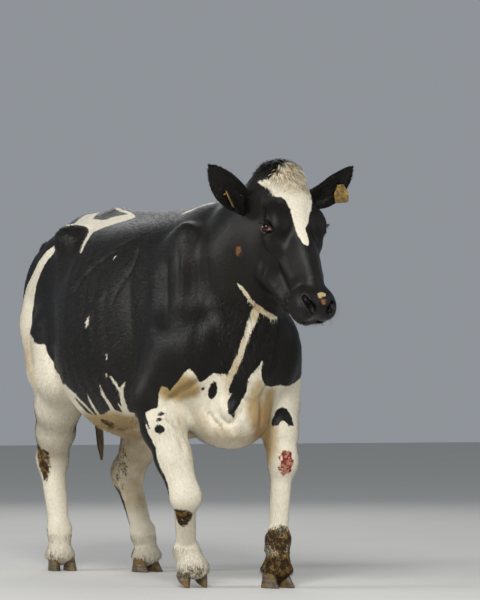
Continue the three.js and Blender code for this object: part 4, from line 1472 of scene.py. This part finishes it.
def coat_colour(m):
    """The coat: ragged black and white patches, stains, mud and a sore, and painted shade that turns
    some white cream, brown and muddy.

    Gives its colour, its roughness, the streaks of its hair and where it is muddy.
    """
    ragged = m.math("MULTIPLY_ADD", m.noise(62, 3), 10.0, -5.0)
    fine = m.times(m.less(m.noise(320, 2), 0.5), 7.0)
    edge = m.add(m.add(m.attribute("white"), ragged), fine)
    white = m.between(edge, -1.6, 1.6)
    streak = m.level(m.attribute("leg"), m.noise(60, 4, (5, 1, 3)), m.noise(60, 4, (5, 5, 1)))
    brown = m.times(m.between(m.noise(3.5, 4), 0.42, 0.75), 0.7)
    dark = m.mix(brown, BLACK_HAIR, BROWN_HAIR)
    dark = m.mix(m.between(streak, 0.3, 0.75), dark, m.mix(0.5, dark, BROWN_HAIR))
    blotch = m.math("MULTIPLY_ADD", m.noise(11, 5), 0.9, -0.45)
    # cream from the stain marks, partly painted shade under the belly and beside the brisket
    stained_and_shaded = m.between(m.add(m.attribute("stain_and_shade"), blotch), 0.12, 0.95)
    pale = m.mix(stained_and_shaded, WHITE_HAIR, CREAM_HAIR)
    pale = m.mix(m.times(m.between(streak, 0.35, 0.8), 0.35), pale, CREAM_HAIR)
    # orange tan from the tan marks, partly painted shade beside the brisket
    tan_and_shade = m.between(m.add(m.attribute("tan_and_shade"), m.noise(150, 4)), 0.72, 1.16)
    tan_and_shade = m.times(tan_and_shade, m.between(m.attribute("tan_and_shade"), 0.02, 0.2))
    pale = m.mix(m.attribute("tan_and_shade"), pale, ORANGE_TAN)
    dark = m.mix(tan_and_shade, dark, ORANGE_TAN)
    coat = m.mix(white, dark, pale)
    clump = m.add(m.noise(34, 6, (1, 1, 0.6), 0.7), m.times(m.noise(150, 4), 0.5))
    # mud from the mud marks, partly painted shade on the left hind leg
    mud = m.between(m.add(m.attribute("mud"), clump), 1.26, 1.5)
    dried = m.between(m.noise(38, 5, (1, 1, 1), 0.7), 0.46, 0.66)
    coat = m.mix(mud, coat, m.mix(dried, MUD_BROWN, DRY_MUD))
    raw = m.between(m.add(m.attribute("sore"), m.times(m.noise(52, 5), 1.7)), 1.4, 1.6)
    scabs = m.between(m.noise(46, 3), 0.54, 0.62)
    flecks = m.mix(m.between(m.noise(66, 4), 0.46, 0.54), SORE_SKIN, RAW_RED)
    coat = m.mix(raw, coat, m.mix(scabs, flecks, SCAB))
    coat = m.mix(m.attribute("udder"), coat, PINK_SKIN)
    rough = m.level(mud, m.level(white, 0.42, 0.62), 0.88)
    return coat, rough, streak, mud


def skin_material():
    m = Paint("skin", Specular_IOR_Level=0.2)
    coat, rough, streak, mud = coat_colour(m)
    nose = m.attribute("nose")
    pebble = m.cells(210)
    coat = m.mix(nose, coat, m.mix(m.between(pebble, 0.2, 0.7), shade(24, 22, 21), NOSE_BLACK))
    coat = m.mix(m.attribute("lining"), coat, shade(120, 72, 62))
    rough = m.level(nose, rough, 0.26)
    hair = m.add(m.times(streak, 0.9), m.times(m.noise(420, 2), 0.25))
    hair = m.add(hair, m.times(mud, 0.8))
    height = m.level(nose, hair, m.times(m.less(1.0, pebble), 1.2))
    return m.finish(coat, rough, height, 0.0012)


def coat_material():
    m = Paint("coat", Specular_IOR_Level=0.2)
    coat, rough = coat_colour(m)[:2]
    tone = m.level(m.attribute("tone"), 0.72, 1.0)
    # painted shade: each lock is darker at its root than at its tip
    tone_shaded_at_root = m.level(m.attribute("tip"), tone, m.add(tone, 0.16))
    grey = m.node("CombineColor", {0: tone_shaded_at_root, 1: tone_shaded_at_root, 2: tone_shaded_at_root}).outputs[0]
    return m.finish(m.mix(1.0, coat, grey, "MULTIPLY"), rough, m.noise(700, 1), 0.0003)


def hair_material(name, dark, light, roughness=0.5):
    """Long hair all of one colour: the tail's switch, lashes and whiskers."""
    m = Paint(name, Sheen_Weight=0.08, Sheen_Roughness=0.4)
    tone = m.level(m.attribute("tone"), 0.0, 0.7)
    # painted shade: each lock is darker at its root and lighter towards its tip
    colour = m.mix(m.add(tone, m.times(m.attribute("tip"), 0.3)), dark, light)
    colour = m.mix(m.between(m.noise(24, 4), 0.5, 0.8), colour, dark)
    return m.finish(colour, roughness, m.noise(500, 2), 0.0003)


def eye_material():
    wet = {"Coat_Weight": 0.5, "Coat_Roughness": 0.02, "Coat_IOR": 1.38}
    m = Paint("eye", Roughness=0.2, Specular_IOR_Level=0.2, **wet)
    rays = m.times(m.less(m.noise(300, 3), 0.5), 2.4)
    ring = m.add(m.attribute("iris"), rays)
    iris = m.mix(m.between(ring, 6, 12.5), shade(18, 12, 9), shade(42, 27, 18))
    iris = m.mix(m.between(ring, 11.5, 13.2), iris, shade(14, 10, 9))
    veined = m.mix(m.noise(200, 4), shade(92, 64, 56), shade(128, 102, 92))
    white = m.mix(m.between(ring, 13.2, 15.5), iris, veined)
    ball = m.mix(m.between(m.attribute("pupil"), 0.9, 1.15), shade(6, 7, 12), white)
    ball = m.mix(m.attribute("corner"), ball, shade(172, 130, 124))
    return m.finish(ball, None, m.noise(500, 2), 0.00004)


def horn_material():
    m = Paint("horn", Specular_IOR_Level=0.4)
    rings = m.noise(9, 3, (1.5, 1.5, 22))
    fibres = m.noise(120, 3, (3, 3, 0.4))
    colour = m.mix(m.between(rings, 0.35, 0.65), shade(46, 38, 29), shade(104, 88, 62))
    colour = m.mix(m.times(m.between(fibres, 0.4, 0.8), 0.5), colour, shade(140, 122, 90))
    mud = m.between(m.noise(30, 5), 0.5, 0.62)
    colour = m.mix(mud, colour, m.mix(m.noise(90, 3), MUD_BROWN, DRY_MUD))
    height = m.add(m.add(rings, m.times(fibres, 0.3)), m.times(mud, 0.5))
    return m.finish(colour, m.level(mud, 0.42, 0.9), height, 0.0012)


def tag_material():
    m = Paint("tag", Specular_IOR_Level=0.5)
    grime = m.between(m.add(m.noise(60, 5), m.times(m.noise(260, 3), 0.4)), 0.45, 0.85)
    colour = m.mix(m.between(m.noise(70, 4), 0.4, 0.6), shade(170, 132, 52), shade(120, 98, 40))
    colour = m.mix(m.times(grime, 0.85), colour, shade(62, 54, 30))
    return m.finish(colour, m.level(grime, 0.42, 0.8), m.add(m.noise(420, 2), grime), 0.0002)


def floor_material():
    m = Paint("floor", Roughness=0.9)
    colour = m.mix(m.noise(2, 3), shade(206, 204, 198), shade(198, 197, 192))
    return m.finish(colour, None, m.noise(60, 4), 0.0008)


# ---- the coat


# Lengths of the hair from place to place.
HAIR = {
    "back": 22,
    "front": 14,
    "belly": 26,
    "cannon": 11,
    "pastern": 18,
    "udder": 8,
    "brow": 12,
    "muzzle": 5.5,
}


def coat_length(p):
    """The length of the hair: shortest on the face, longest below the belly."""
    x, down = in_head(p).T[:2]
    y, z = p.T[1:]
    head = smooth((-880 - y) / 90) * smooth((z - 960) / 80)
    on_face = mix(HAIR["brow"], HAIR["muzzle"], smooth((down - 60) / 380))
    below = smooth((660 - z) / 60) * smooth((z - 500) / 60) * smooth((y + 560) / 60)
    front_or_low = np.maximum(smooth((760 - z) / 160), smooth((-470 - y) / 150))
    length = mix(HAIR["back"], HAIR["front"], front_or_low)
    length = mix(length, HAIR["belly"], below * (np.abs(x) < 220))
    length = mix(length, HAIR["cannon"], smooth((460 - z) / 120))
    length = mix(length, HAIR["pastern"], smooth((150 - z) / 50))
    length = mix(length, on_face, head)
    return mix(length, HAIR["udder"], bare_at(p)[1])


def rows_of(x, y, z):
    """Rows of x, y and z, where one is an array and the others may be numbers."""
    return np.stack(np.broadcast_arrays(x, y, z), 1).astype(float)


WHORL_DOWN = 118


def coat_lie(p):
    """Which way the hair lies: back along the body, down the legs and tail, and out from the whorl."""
    x, y, z = p.T
    down = rows_of(0 * x, 0.12, -1)
    back = rows_of(0.1 * np.sign(x), 1, -0.42)
    low = smooth((820 - z) / 180) * smooth((np.abs(y + 60) - 260) / 140)
    low = np.maximum(low, smooth((y - 640) / 200))
    low = np.maximum(low, smooth((-700 - y) / 80) * smooth((1180 - z) / 160))
    lie = mix(back, down, low[:, None])
    hx, hdown, hout = in_head(p).T
    cheek = smooth((-60 - hout) / 70)
    ray = rows_of(hx * 0.9, hdown - WHORL_DOWN, 0)
    ray /= row_lengths(ray) + 0.1
    ray = mix(ray, rows_of(0.1 * np.sign(hx), 0.45, -0.9), cheek[:, None])
    face_lie = (ray * np.array([1, -1, 1])) @ HEAD_AXES.T
    head = smooth((-900 - y) / 60) * smooth((z - 980) / 60)
    return mix(lie, face_lie, head[:, None])


def row_lengths(v):
    return np.linalg.norm(v, axis=1)[:, None]


def unit_rows(v):
    return v / (row_lengths(v) + 1e-9)


# The part of its width that a lock loses along its length, before its point, and its patch for baking.
TAPER = 0.25
BAKE_PATCH = 0.003


def locks(name, paths, across, normals, width, root_uv, layers, material):
    """Closed three-sided locks that follow paths to a point, each with a small patch for baking."""
    count, steps = paths.shape[:2]
    along = paths[:, 1] - paths[:, 0]
    side = across - along * ((across * along).sum(1) / (along * along).sum(1))[:, None]
    side /= row_lengths(side)
    under = np.cross(side, along)
    under /= row_lengths(under)
    rings = []
    for step in range(steps - 1):
        half = (width * (1 - TAPER * step / (steps - 1)) / 2)[:, None]
        middle = paths[:, step]
        rings += [middle - side * half, middle + side * half, middle + under * half * 0.5]
    points = np.stack([*rings, paths[:, -1]], 1)
    corners = points.shape[1]
    faces = [(0, 2, 1)]
    for ring in range(0, corners - 4, 3):
        for a, b in ((0, 1), (1, 2), (2, 0)):
            faces += [(ring + a, ring + b, ring + b + 3), (ring + a, ring + b + 3, ring + a + 3)]
    last = corners - 4
    faces += [(last + a, last + b, corners - 1) for a, b in ((0, 1), (1, 2), (2, 0))]
    faces = np.array(faces)
    a, b, c = (points[:, faces[:, k]] for k in range(3))
    middle = points.mean(1)[:, None]
    if (((a - middle) * np.cross(b - middle, c - middle)).sum((1, 2)) > 0).mean() < 0.5:
        faces = faces[:, ::-1]
    numbers = (faces[None] + corners * np.arange(count)[:, None, None]).reshape(-1, 3)
    mesh = mesh_from(name, points.reshape(-1, 3), numbers)
    rows = np.arange(corners) // 3 / (steps - 1)
    columns = np.array([0, 1, 0.5] * (steps - 1) + [0.5])
    rows = np.where(np.arange(corners) % 3 == 2, rows + 0.12, rows)
    uv = (root_uv[:, None] + BAKE_PATCH * np.stack([columns, rows], 1)).reshape(-1, 2)
    layer = mesh.uv_layers.new(name="OFBake")
    layer.data.foreach_set("uv", uv[numbers.ravel()].astype(np.float32).ravel())
    paint(mesh, corners, **layers)
    tip = np.tile(np.append(np.repeat(np.arange(steps - 1) / (steps - 1), 3), 1.0), count)
    paint(mesh, tip=tip)
    mesh.shade_smooth()
    mesh.normals_split_custom_set_from_vertices(np.repeat(normals, corners, axis=0).tolist())
    mesh.materials.append(material)
    return add_piece(name, mesh)


def add_piece(name, mesh):
    piece = bpy.data.objects.new(name, mesh)
    bpy.context.scene.collection.objects.link(piece)
    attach(piece, "root")
    return piece


# The middle line that a piece of coat is unwound about bends in so many steps.
BENDS = 12


def unwrap(p, axis):
    """Places from 0 to 1 round and along a piece of the body, about its own winding middle line."""
    along = p @ axis
    share = (along - along.min()) / max(np.ptp(along), 1e-9)
    first = unit(np.cross(axis, vec(0.3, 1, 0.2)))
    second = np.cross(axis, first)
    flat = np.stack([p @ first, p @ second], 1)
    bins = np.clip((share * BENDS).astype(int), 0, BENDS - 1)
    held = np.maximum(np.bincount(bins, minlength=BENDS), 1)
    middles = [np.bincount(bins, flat[:, k], BENDS) / held for k in range(2)]
    centre = np.stack([np.interp(share * BENDS - 0.5, np.arange(BENDS), m) for m in middles], 1)
    angle = np.arctan2(*(flat - centre).T)
    turn = (angle - angle.min()) / max(np.ptp(angle), 1e-9)
    return 0.004 + 0.988 * np.stack([turn, share], 1)


# The most hairs in one piece of coat.
MOST_HAIRS = 48000


class Hide:
    """The finished skin as triangles, on which hair is rooted."""

    def __init__(self, mesh):
        self.points = to_layout(read(mesh.vertices, "co", 3).astype(float))
        self.normals = read(mesh.vertex_normals, "vector", 3).astype(float)
        mesh.calc_loop_triangles()
        self.triangles = read(mesh.loop_triangles, "vertices", 3, np.int32)
        a, b, c = (self.points[self.triangles[:, k]] for k in range(3))
        self.sizes = np.linalg.norm(np.cross(b - a, c - a), axis=1) / 2
        self.middles = (a + b + c) / 3

    def roots(self, chosen, spacing, draw):
        """Evenly scattered places on chosen triangles: points and normals."""
        chosen = np.flatnonzero(chosen)
        total = np.cumsum(self.sizes[chosen])
        count = min(int(total[-1] / spacing**2), MOST_HAIRS)
        pick = np.searchsorted(total, (np.arange(count) + draw.random(count)) / count * total[-1])
        corners = self.triangles[chosen[np.minimum(pick, len(chosen) - 1)]]
        a, b = np.sqrt(draw.random(count)), draw.random(count)
        shares = np.stack([1 - a, a * (1 - b), a * b], 1)[:, :, None]
        normal = (self.normals[corners] * shares).sum(1)
        return (self.points[corners] * shares).sum(1), normal / row_lengths(normal)


def on_surface(way, normal):
    return unit_rows(way - normal * (way * normal).sum(1)[:, None])


# How deep a tuft starts below the skin.
ROOTED = 0.8


def grow(name, roots, normals, lie, length, draw, axis, rise=2.2, spray=0.24):
    """A piece of coat: a tuft at each root, lying along the skin and lifted at its tip.

    Each tuft takes the marks of the place under its middle.
    """
    count = len(roots)
    lie = on_surface(lie + draw.normal(0, spray, (count, 3)), normals)
    length = (length * draw.uniform(0.75, 1.25, count))[:, None]
    lift = rise * draw.uniform(0.5, 1.3, count)[:, None] * np.minimum(1, length / 14)
    paths = np.stack([roots - normals * ROOTED, roots + lie * length + normals * lift], 1)
    layers = marks_at(roots + lie * length * 0.5)
    layers["tone"] = draw.random(count)
    width = np.clip(length[:, 0] * 0.2, 1.2, 4.6)
    facing = unit_rows(normals - lie * 0.12 + draw.normal(0, 0.07, (count, 3)))
    locks(name, paths, np.cross(normals, lie), facing, width, unwrap(roots, axis), layers, COAT)


SKIN = skin_material()
COAT = coat_material()
DARK_HAIR = hair_material("dark_hair", shade(16, 15, 14), shade(52, 45, 36))
SWITCH_HAIR = hair_material("switch_hair", shade(58, 46, 28), shade(128, 104, 66), 0.6)
# How much further apart the hairs stand than in the full coat.
SPACING = 1.0

skin_points = to_layout(read(skin_mesh.vertices, "co", 3).astype(float))
lining = np.zeros(len(skin_points))
for side in (LEFT, RIGHT):
    u, v, w = in_eye(side, skin_points)
    rim = smooth(1 - np.abs(from_slit(u, v) + 0.5) / 2.2) * (w > 0) * (np.hypot(u, v) < 34)
    lining = np.maximum(lining, rim * mix(0.2, 0.9, smooth((u - 8) / 10)))
paint(skin_mesh, lining=lining, **marks_at(skin_points))
skin_mesh.materials.append(SKIN)
skin_piece = add_piece("skin", skin_mesh)
flesh_nodes = ["trunk", "neck", "head", "udder", "tail"]
for word in SIDES:
    flesh_nodes += [f"{part}_{word}" for part in ("ear", "forearm", "forefoot", "gaskin", "hindfoot")]
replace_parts(skin_piece, *flesh_nodes)

hide = Hide(skin_mesh)
mid = hide.middles
x, y, z = mid.T
off_middle = np.abs(x)
faces_up = hide.normals[hide.triangles[:, 0], 2]
across_head, down_head, out_head = in_head(mid).T
eye_hole = np.zeros(len(mid), bool)
for side in (LEFT, RIGHT):
    u, v, w = in_eye(side, mid)
    eye_hole |= (from_slit(u, v) < 2.5) & (w > -10) & (np.hypot(u, v) < 40)
in_own_frame = (mid - POLL) @ HEAD_AXES
nose_holes = np.min([hole(in_own_frame) for hole in (*nostril(LEFT), *nostril(RIGHT))], axis=0) < 2
on_ear = hide.triangles[:, 0] >= EAR_START
haired = ~on_ear & (nose_pad(mid) < 0) & ~eye_hole & ~nose_holes
is_left = x > 0
on_tail = near([-80, 930, 400], [220, 1100, 1380], tail_field())(mid) < 14
on_head = (y < -905) & (out_head > -262) & (z > 985)
on_neck = y < -610
low_fore = (y < -470) & ((z < 545) | ((z < 700) & (off_middle > 150)))
low_hind = (y > 330) & (z < 760) & ((off_middle > 95) | (z < 560))
UP, BACK = vec(0, 0, 1), vec(0, 1, 0)
FACEWARD = unit(HEAD_AXES @ face(0.05, 1, -0.2))
# Pieces of the coat: where each grows, how far apart its hairs stand, and the axis it is unwound about.
REGIONS = [
    ("coat_tail", on_tail, 5.0, UP),
    ("coat_head", on_head, 3.7, FACEWARD),
    ("coat_fore_left", low_fore & is_left, 4.9, unit(vec(0.02, 0.1, 1))),
    ("coat_fore_right", low_fore & ~is_left, 4.9, unit(vec(-0.12, -0.1, 1))),
    ("coat_hind_left", low_hind & is_left, 4.9, unit(vec(0.1, -0.1, 1))),
    ("coat_hind_right", low_hind & ~is_left, 4.9, unit(vec(-0.02, 0.2, 1))),
    ("coat_neck", on_neck, 6.4, unit(vec(0.04, -0.8, 0.6))),
    ("coat_trunk_left", is_left, 6.9, BACK),
    ("coat_trunk_right", ~is_left, 6.9, BACK),
]
free = haired.copy()
for seed, (name, chosen, spacing, axis) in enumerate(REGIONS):
    draw = np.random.default_rng(100 + seed)
    roots, normals = hide.roots(free & chosen, spacing * SPACING, draw)
    free &= ~chosen
    grow(name, roots, normals, coat_lie(roots), coat_length(roots), draw, axis)


# ---- long hair


def curls(name, roots, normals, lie, length, draw, axis, width, steps=2, curl=0, droop=0, marks=None):
    """Longer locks that rise from the skin, bend along the lie, hang and may curl."""
    count = len(roots)
    lie = on_surface(lie + draw.normal(0, 0.28, (count, 3)), normals)
    across = np.cross(normals, lie)
    length = length * draw.uniform(0.6, 1.25, count)
    phase = draw.uniform(0, 2 * np.pi, count)
    path = []
    for step in range(steps + 1):
        t = step / steps
        swirl = curl * length * t * 0.5
        turn = phase + 5.2 * t * (curl > 0)
        reach = lie * (length * (0.35 * t + 0.6 * t * t))[:, None]
        reach = reach + normals * (length * (0.5 * t - 0.36 * t * t) - 0.9)[:, None]
        twist = across * (swirl * (np.sin(turn) - np.sin(phase)))[:, None]
        twist = twist + normals * (swirl * (np.cos(turn) - np.cos(phase)) * 0.5)[:, None]
        path.append(roots + reach + twist - UP * (droop * length * t * t)[:, None])
    layers = marks_at(roots) if marks is None else dict(marks)
    layers["tone"] = draw.random(count)
    wide = width * draw.uniform(0.7, 1.2, count)
    facing = unit_rows(normals + draw.normal(0, 0.3, (count, 3)))
    locks(name, np.stack(path, 1), across, facing, wide, unwrap(roots, axis), layers, COAT)


draw = np.random.default_rng(7)
crown = (down_head < 112) & (down_head > -66) & (np.abs(across_head) < 92) & (out_head > -150)
roots, normals = hide.roots(haired & crown & (y < -930), 4.4 * SPACING, draw)
across, down = in_head(roots).T[:2]
strand = across * 0.36 + 2.2 * np.sin(down * 0.05 + 1)
fan = rows_of(across / 70 - 0.55 * np.sin(strand), 0, 0) + HEAD_AXES @ face(0, 0.9, 0.5)
thick = smooth((84 - np.abs(across)) / 46) * smooth((110 - down) / 60)
marks = marks_at(roots)
yellowed = 0.95 * smooth((-np.cos(strand) - 0.3) * 2) * smooth((104 - down) / 70)
marks["stain_and_shade"] = np.maximum(marks["stain_and_shade"], yellowed)
length = mix(14, 40, thick)
curls("coat_poll", roots, normals, fan, length, draw, FACEWARD, 3.2, steps=4, curl=0.3, marks=marks)

underside = (z < 668) & (z > 480) & (y > -560) & (y < 330) & (off_middle < 230) & (faces_up < 0.1)
underside &= (y > -470) | (off_middle < 120)
pastern = (z < 152) & (z > 66)
crest = (y < -560) & (np.abs(x - 10) < 30) & (faces_up > 0.75) & ~on_head
dewlap = (y < -740) & (z < 1080) & (z > 800) & (off_middle < 120) & ~on_head
# Longer hair: where it grows, how far apart, its length, axis and width, and how much it hangs.
SHAGGY = [
    ("coat_underside", underside, 9.5, 30, BACK, 2.4, 0.18),
    ("coat_pastern", pastern, 5.2, 23, BACK, 2.0, 0.2),
    ("coat_crest", crest, 7.5, 24, BACK, 2.4, 0.0),
    ("coat_dewlap", dewlap, 9.0, 17, UP, 2.2, 0.15),
]
for name, chosen, spacing, length, axis, width, droop in SHAGGY:
    roots, normals = hide.roots(haired & chosen, spacing * SPACING, draw)
    curls(name, roots, normals, coat_lie(roots), length, draw, axis, width, droop=droop)

FRINGE_HAIRS = 1500
for word, side in SIDES.items():
    draw = np.random.default_rng(40 + side)
    axes = ear_axes(side)
    own = on_ear & ((hide.triangles[:, 0] < EAR_START + EAR_POINTS) == (side == LEFT))
    roots, normals = hide.roots(own, 3.6 * SPACING, draw)
    lie = np.tile(axes[0], (len(roots), 1)) + normals * 0.1
    grow(f"coat_ear_{word}", roots, normals, lie, 9.0, draw, axes[0], rise=1.5, spray=0.3)
    count = int(FRINGE_HAIRS / SPACING)
    t = draw.uniform(0.12, 0.99, count)
    k = np.sign(draw.random(count) - 0.5) * draw.uniform(0.42, 0.497, count)
    inner = draw.random(count) < 0.35
    k = np.where(inner, draw.uniform(-0.4, 0.4, count), k)
    t = np.where(inner, draw.uniform(0.15, 0.8, count), t)
    rim = from_ear(side, ear_surfaces(side, t, k)[1])
    inward = from_ear(side, ear_surfaces(side, t, k * 0.7)[1]) - rim
    lie = axes[0] * 0.8 + unit_rows(inward) * np.where(inner, -0.2, 0.5)[:, None]
    length = np.where(inner, 15, 21) * (1 - 0.35 * t)
    outwards = np.tile(axes[2], (count, 1))
    curls(f"coat_ear_fringe_{word}", rim, outwards, lie, length, draw, axes[0], 1.3, steps=3, curl=0.1)


def plain_marks(count, draw):
    """The marks of hair that is black all over."""
    marks = {name: np.zeros(count) for name in ("mud", "stain_and_shade", "tan_and_shade", "sore", "udder", "leg")}
    return marks | {"white": np.full(count, -DEEP), "tone": draw.random(count)}


LASHES = 150
SWITCH_HAIRS = 2600
SWITCH_PARTS = 40
SWITCH_STEPS = 6
draw = np.random.default_rng(11)
line, bulk = tapered(SWITCH, SWITCH_PARTS)
count = int(SWITCH_HAIRS / SPACING)
start = draw.uniform(0, 0.62, count) ** 1.2
reach = draw.uniform(0.3, 0.5, count)
angle = draw.uniform(0, 2 * np.pi, count)
spoke = np.sqrt(draw.uniform(0.25, 1, count))
wave = draw.uniform(-3, 3, (count, 2))
path = []
for step in range(SWITCH_STEPS + 1):
    share = step / SWITCH_STEPS
    place = np.clip(start + reach * share, 0, 1) * (SWITCH_PARTS - 1)
    middle = np.stack([np.interp(place, np.arange(SWITCH_PARTS), line[:, k]) for k in range(3)], 1)
    out = np.interp(place, np.arange(SWITCH_PARTS), bulk)
    out = out * mix(0.35, 1, np.minimum(1, share * 2.4)) * spoke * 0.42
    turn = angle + 0.7 * share + 0.2 * np.sin(place * 0.5 + angle * 3)
    across = np.cos(turn) * out + wave[:, 0] * share
    behind_it = np.sin(turn) * out + wave[:, 1] * share
    path.append(middle + rows_of(across, behind_it, 0))
path = np.stack(path, 1)
marks = plain_marks(count, draw)
around = rows_of(-np.sin(angle), np.cos(angle), 0)
outwards = rows_of(np.cos(angle), np.sin(angle), 0.2)
width = draw.uniform(1.8, 3.6, count)
unwound = unwrap(path[:, 0], UP)
switch = locks("tail_switch_hair", path, around, outwards, width, unwound, marks, SWITCH_HAIR)
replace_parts(switch, "tail_switch")

for word, side in SIDES.items():
    draw = np.random.default_rng(60 + side)
    middle, axes = eye_place(side)
    u = draw.uniform(-22, 17, LASHES)
    radius = lid_radius(SLIT["upper"])
    v = SLIT["upper"] - radius + np.sqrt(radius**2 - u * u) + draw.uniform(0.2, 1.6, LASHES)
    w = np.sqrt(np.maximum(EYEBALL**2 - u * u - v * v, 0)) + draw.uniform(2, 3.2, LASHES)
    roots = middle + np.stack([u, v, w], 1) @ axes
    away = rows_of(u * 0.03, 0.25, 1) @ axes
    lie = rows_of(u * 0.035 - 0.1, 0.1, 0.5) @ axes - UP * 0.55
    length = 19 * draw.uniform(0.7, 1.1, LASHES)
    path = [roots - away * 1.2]
    for t in (0.3, 0.6, 0.85, 1.0):
        rise, bend = (length * 0.75 * t)[:, None], (length * 0.62 * t * t)[:, None]
        path.append(roots + away * rise + lie * bend)
    along, outwards = (np.tile(axis, (LASHES, 1)) for axis in (axes[0], axes[2]))
    width = np.full(LASHES, 0.7)
    marks = plain_marks(LASHES, draw)
    unwound = unwrap(roots, axes[0])
    locks(f"lashes_{word}", np.stack(path, 1), along, outwards, width, unwound, marks, DARK_HAIR)

draw = np.random.default_rng(77)
bristly = (out_head < -84) & (out_head > -190) & (down_head > 470)
bristly |= (down_head > 530) & (np.abs(across_head) > 44)
roots, normals = hide.roots(bristly & on_head & ~nose_holes, 11.5, draw)
steps = ((-1, 0), (7, 0), (14, 2.4), (20, 7))
path = np.stack([roots + normals * rise - UP * sag for rise, sag in steps], 1)
path[:, 1:] += draw.normal(0, 1.4, (len(roots), 3, 3)).cumsum(1)
width = np.full(len(roots), 0.62)
marks = plain_marks(len(roots), draw)
across = np.cross(normals, UP + 0.01)
locks("whiskers", path, across, normals, width, unwrap(roots, FACEWARD), marks, DARK_HAIR)

# ---- eyes, claws and ear tags

EYE_PAINT = eye_material()
HORN = horn_material()
TAG = tag_material()


def remade(node, voxel, rounds):
    """A softened copy of one of the solids, in cells of `voxel` metres."""
    copy = bpy.data.objects.new("copy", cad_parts[node].data.copy())
    bpy.context.scene.collection.objects.link(copy)
    remesh = copy.modifiers.new("remesh", "REMESH")
    remesh.mode = "VOXEL"
    remesh.voxel_size = voxel
    ease = copy.modifiers.new("ease", "SMOOTH")
    ease.factor, ease.iterations = 0.5, rounds
    mesh = bpy.data.meshes.new_from_object(copy.evaluated_get(bpy.context.evaluated_depsgraph_get()))
    bpy.data.objects.remove(copy)
    mesh.materials.clear()
    mesh.shade_smooth()
    return mesh


for word, side in SIDES.items():
    eye_mesh = eyeball(side)
    eye_mesh.shade_smooth()
    eye_mesh.materials.append(EYE_PAINT)
    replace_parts(add_piece(f"eyeball_{word}", eye_mesh), f"eye_{word}")

RING_PITCH = 0.0085
RING_HEIGHT = 0.00045
SOLE_EDGE = 0.0022


def growth_rings(mesh, sole):
    """Raises the rings of a claw's horn, and flattens its sole at a height."""
    co = read(mesh.vertices, "co", 3).astype(float)
    normal = read(mesh.vertex_normals, "vector", 3)
    x, y, z = co.T
    ring = np.sin((z + 0.16 * y) * 2 * np.pi / RING_PITCH + 2 * np.sin(x * 90))
    co += normal * (ring * RING_HEIGHT)[:, None]
    co[:, 2] = np.where(co[:, 2] < sole + SOLE_EDGE, sole, co[:, 2])
    mesh.vertices.foreach_set("co", co.astype(np.float32).ravel())


for name in LEGS:
    for place in ("inner", "outer"):
        for part, voxel, rounds in (("claw", 0.0026, 9), ("dewclaw", 0.0018, 7)):
            node = f"{part}_{name}_{place}"
            mesh = remade(node, voxel * (1), rounds)
            growth_rings(mesh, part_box(node)[0][2])
            mesh.materials.append(HORN)
            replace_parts(add_piece(f"{node}_horn", mesh), node)

for word in SIDES:
    mesh = remade(f"ear_tag_{word}", 0.0009, 3)
    mesh.materials.append(TAG)
    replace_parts(add_piece(f"ear_tag_{word}_plastic", mesh), f"ear_tag_{word}")

# ---- floor, light and camera

FLOOR = 30
SENSOR = 36
LENS = 193
CAMERA_PLACE = (-4.86, -11.535, 0.73)
CAMERA_UP = 1.64
CAMERA_TURN = -24

scene = bpy.context.scene
floor_mesh = bpy.data.meshes.new("floor")
corners = [(x * FLOOR, y * FLOOR, 0) for x, y in ((-1, -1), (1, -1), (1, 1), (-1, 1))]
floor_mesh.from_pydata(corners, [], [(0, 1, 2, 3)])
floor_mesh.materials.append(floor_material())
floor = bpy.data.objects.new("floor", floor_mesh)
scene.collection.objects.link(floor)
floor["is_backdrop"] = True


def softbox(name, place, size, power, aim=(0, -0.2, 0.9)):
    light = bpy.data.lights.new(name, "AREA")
    light.shape, light.size, light.energy = "DISK", size, power
    lamp = bpy.data.objects.new(name, light)
    lamp.location = place
    lamp.rotation_euler = (Vector(aim) - Vector(place)).to_track_quat("-Z", "Y").to_euler()
    scene.collection.objects.link(lamp)


softbox("key", (-3.4, -6.2, 5.6), 2.4, 520)
softbox("fill", (5.2, -4.6, 3.4), 4.5, 80)
softbox("back", (2.5, 6.5, 4.6), 4.0, 110)
softbox("side", (-7.0, 1.5, 3.8), 2.6, 230)
world = bpy.data.worlds.new("studio")
world.use_nodes = True
background = world.node_tree.nodes["Background"].inputs
background["Color"].default_value = (0.86, 0.92, 1.0, 1)
background["Strength"].default_value = 0.32
scene.world = world
scene.view_settings.view_transform = "Standard"

camera_data = bpy.data.cameras.new("camera")
camera_data.sensor_fit, camera_data.sensor_height, camera_data.sensor_width = "VERTICAL", SENSOR, SENSOR
camera_data.lens = LENS
camera = bpy.data.objects.new("camera", camera_data)
camera.location = CAMERA_PLACE
camera.rotation_euler = (math.radians(90 + CAMERA_UP), 0, math.radians(CAMERA_TURN))
scene.collection.objects.link(camera)
scene.camera = camera

sizes = {"cad": cad_box, "visual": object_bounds()}
sizes = {key: [[float(v) for v in corner] for corner in box] for key, box in sizes.items()}
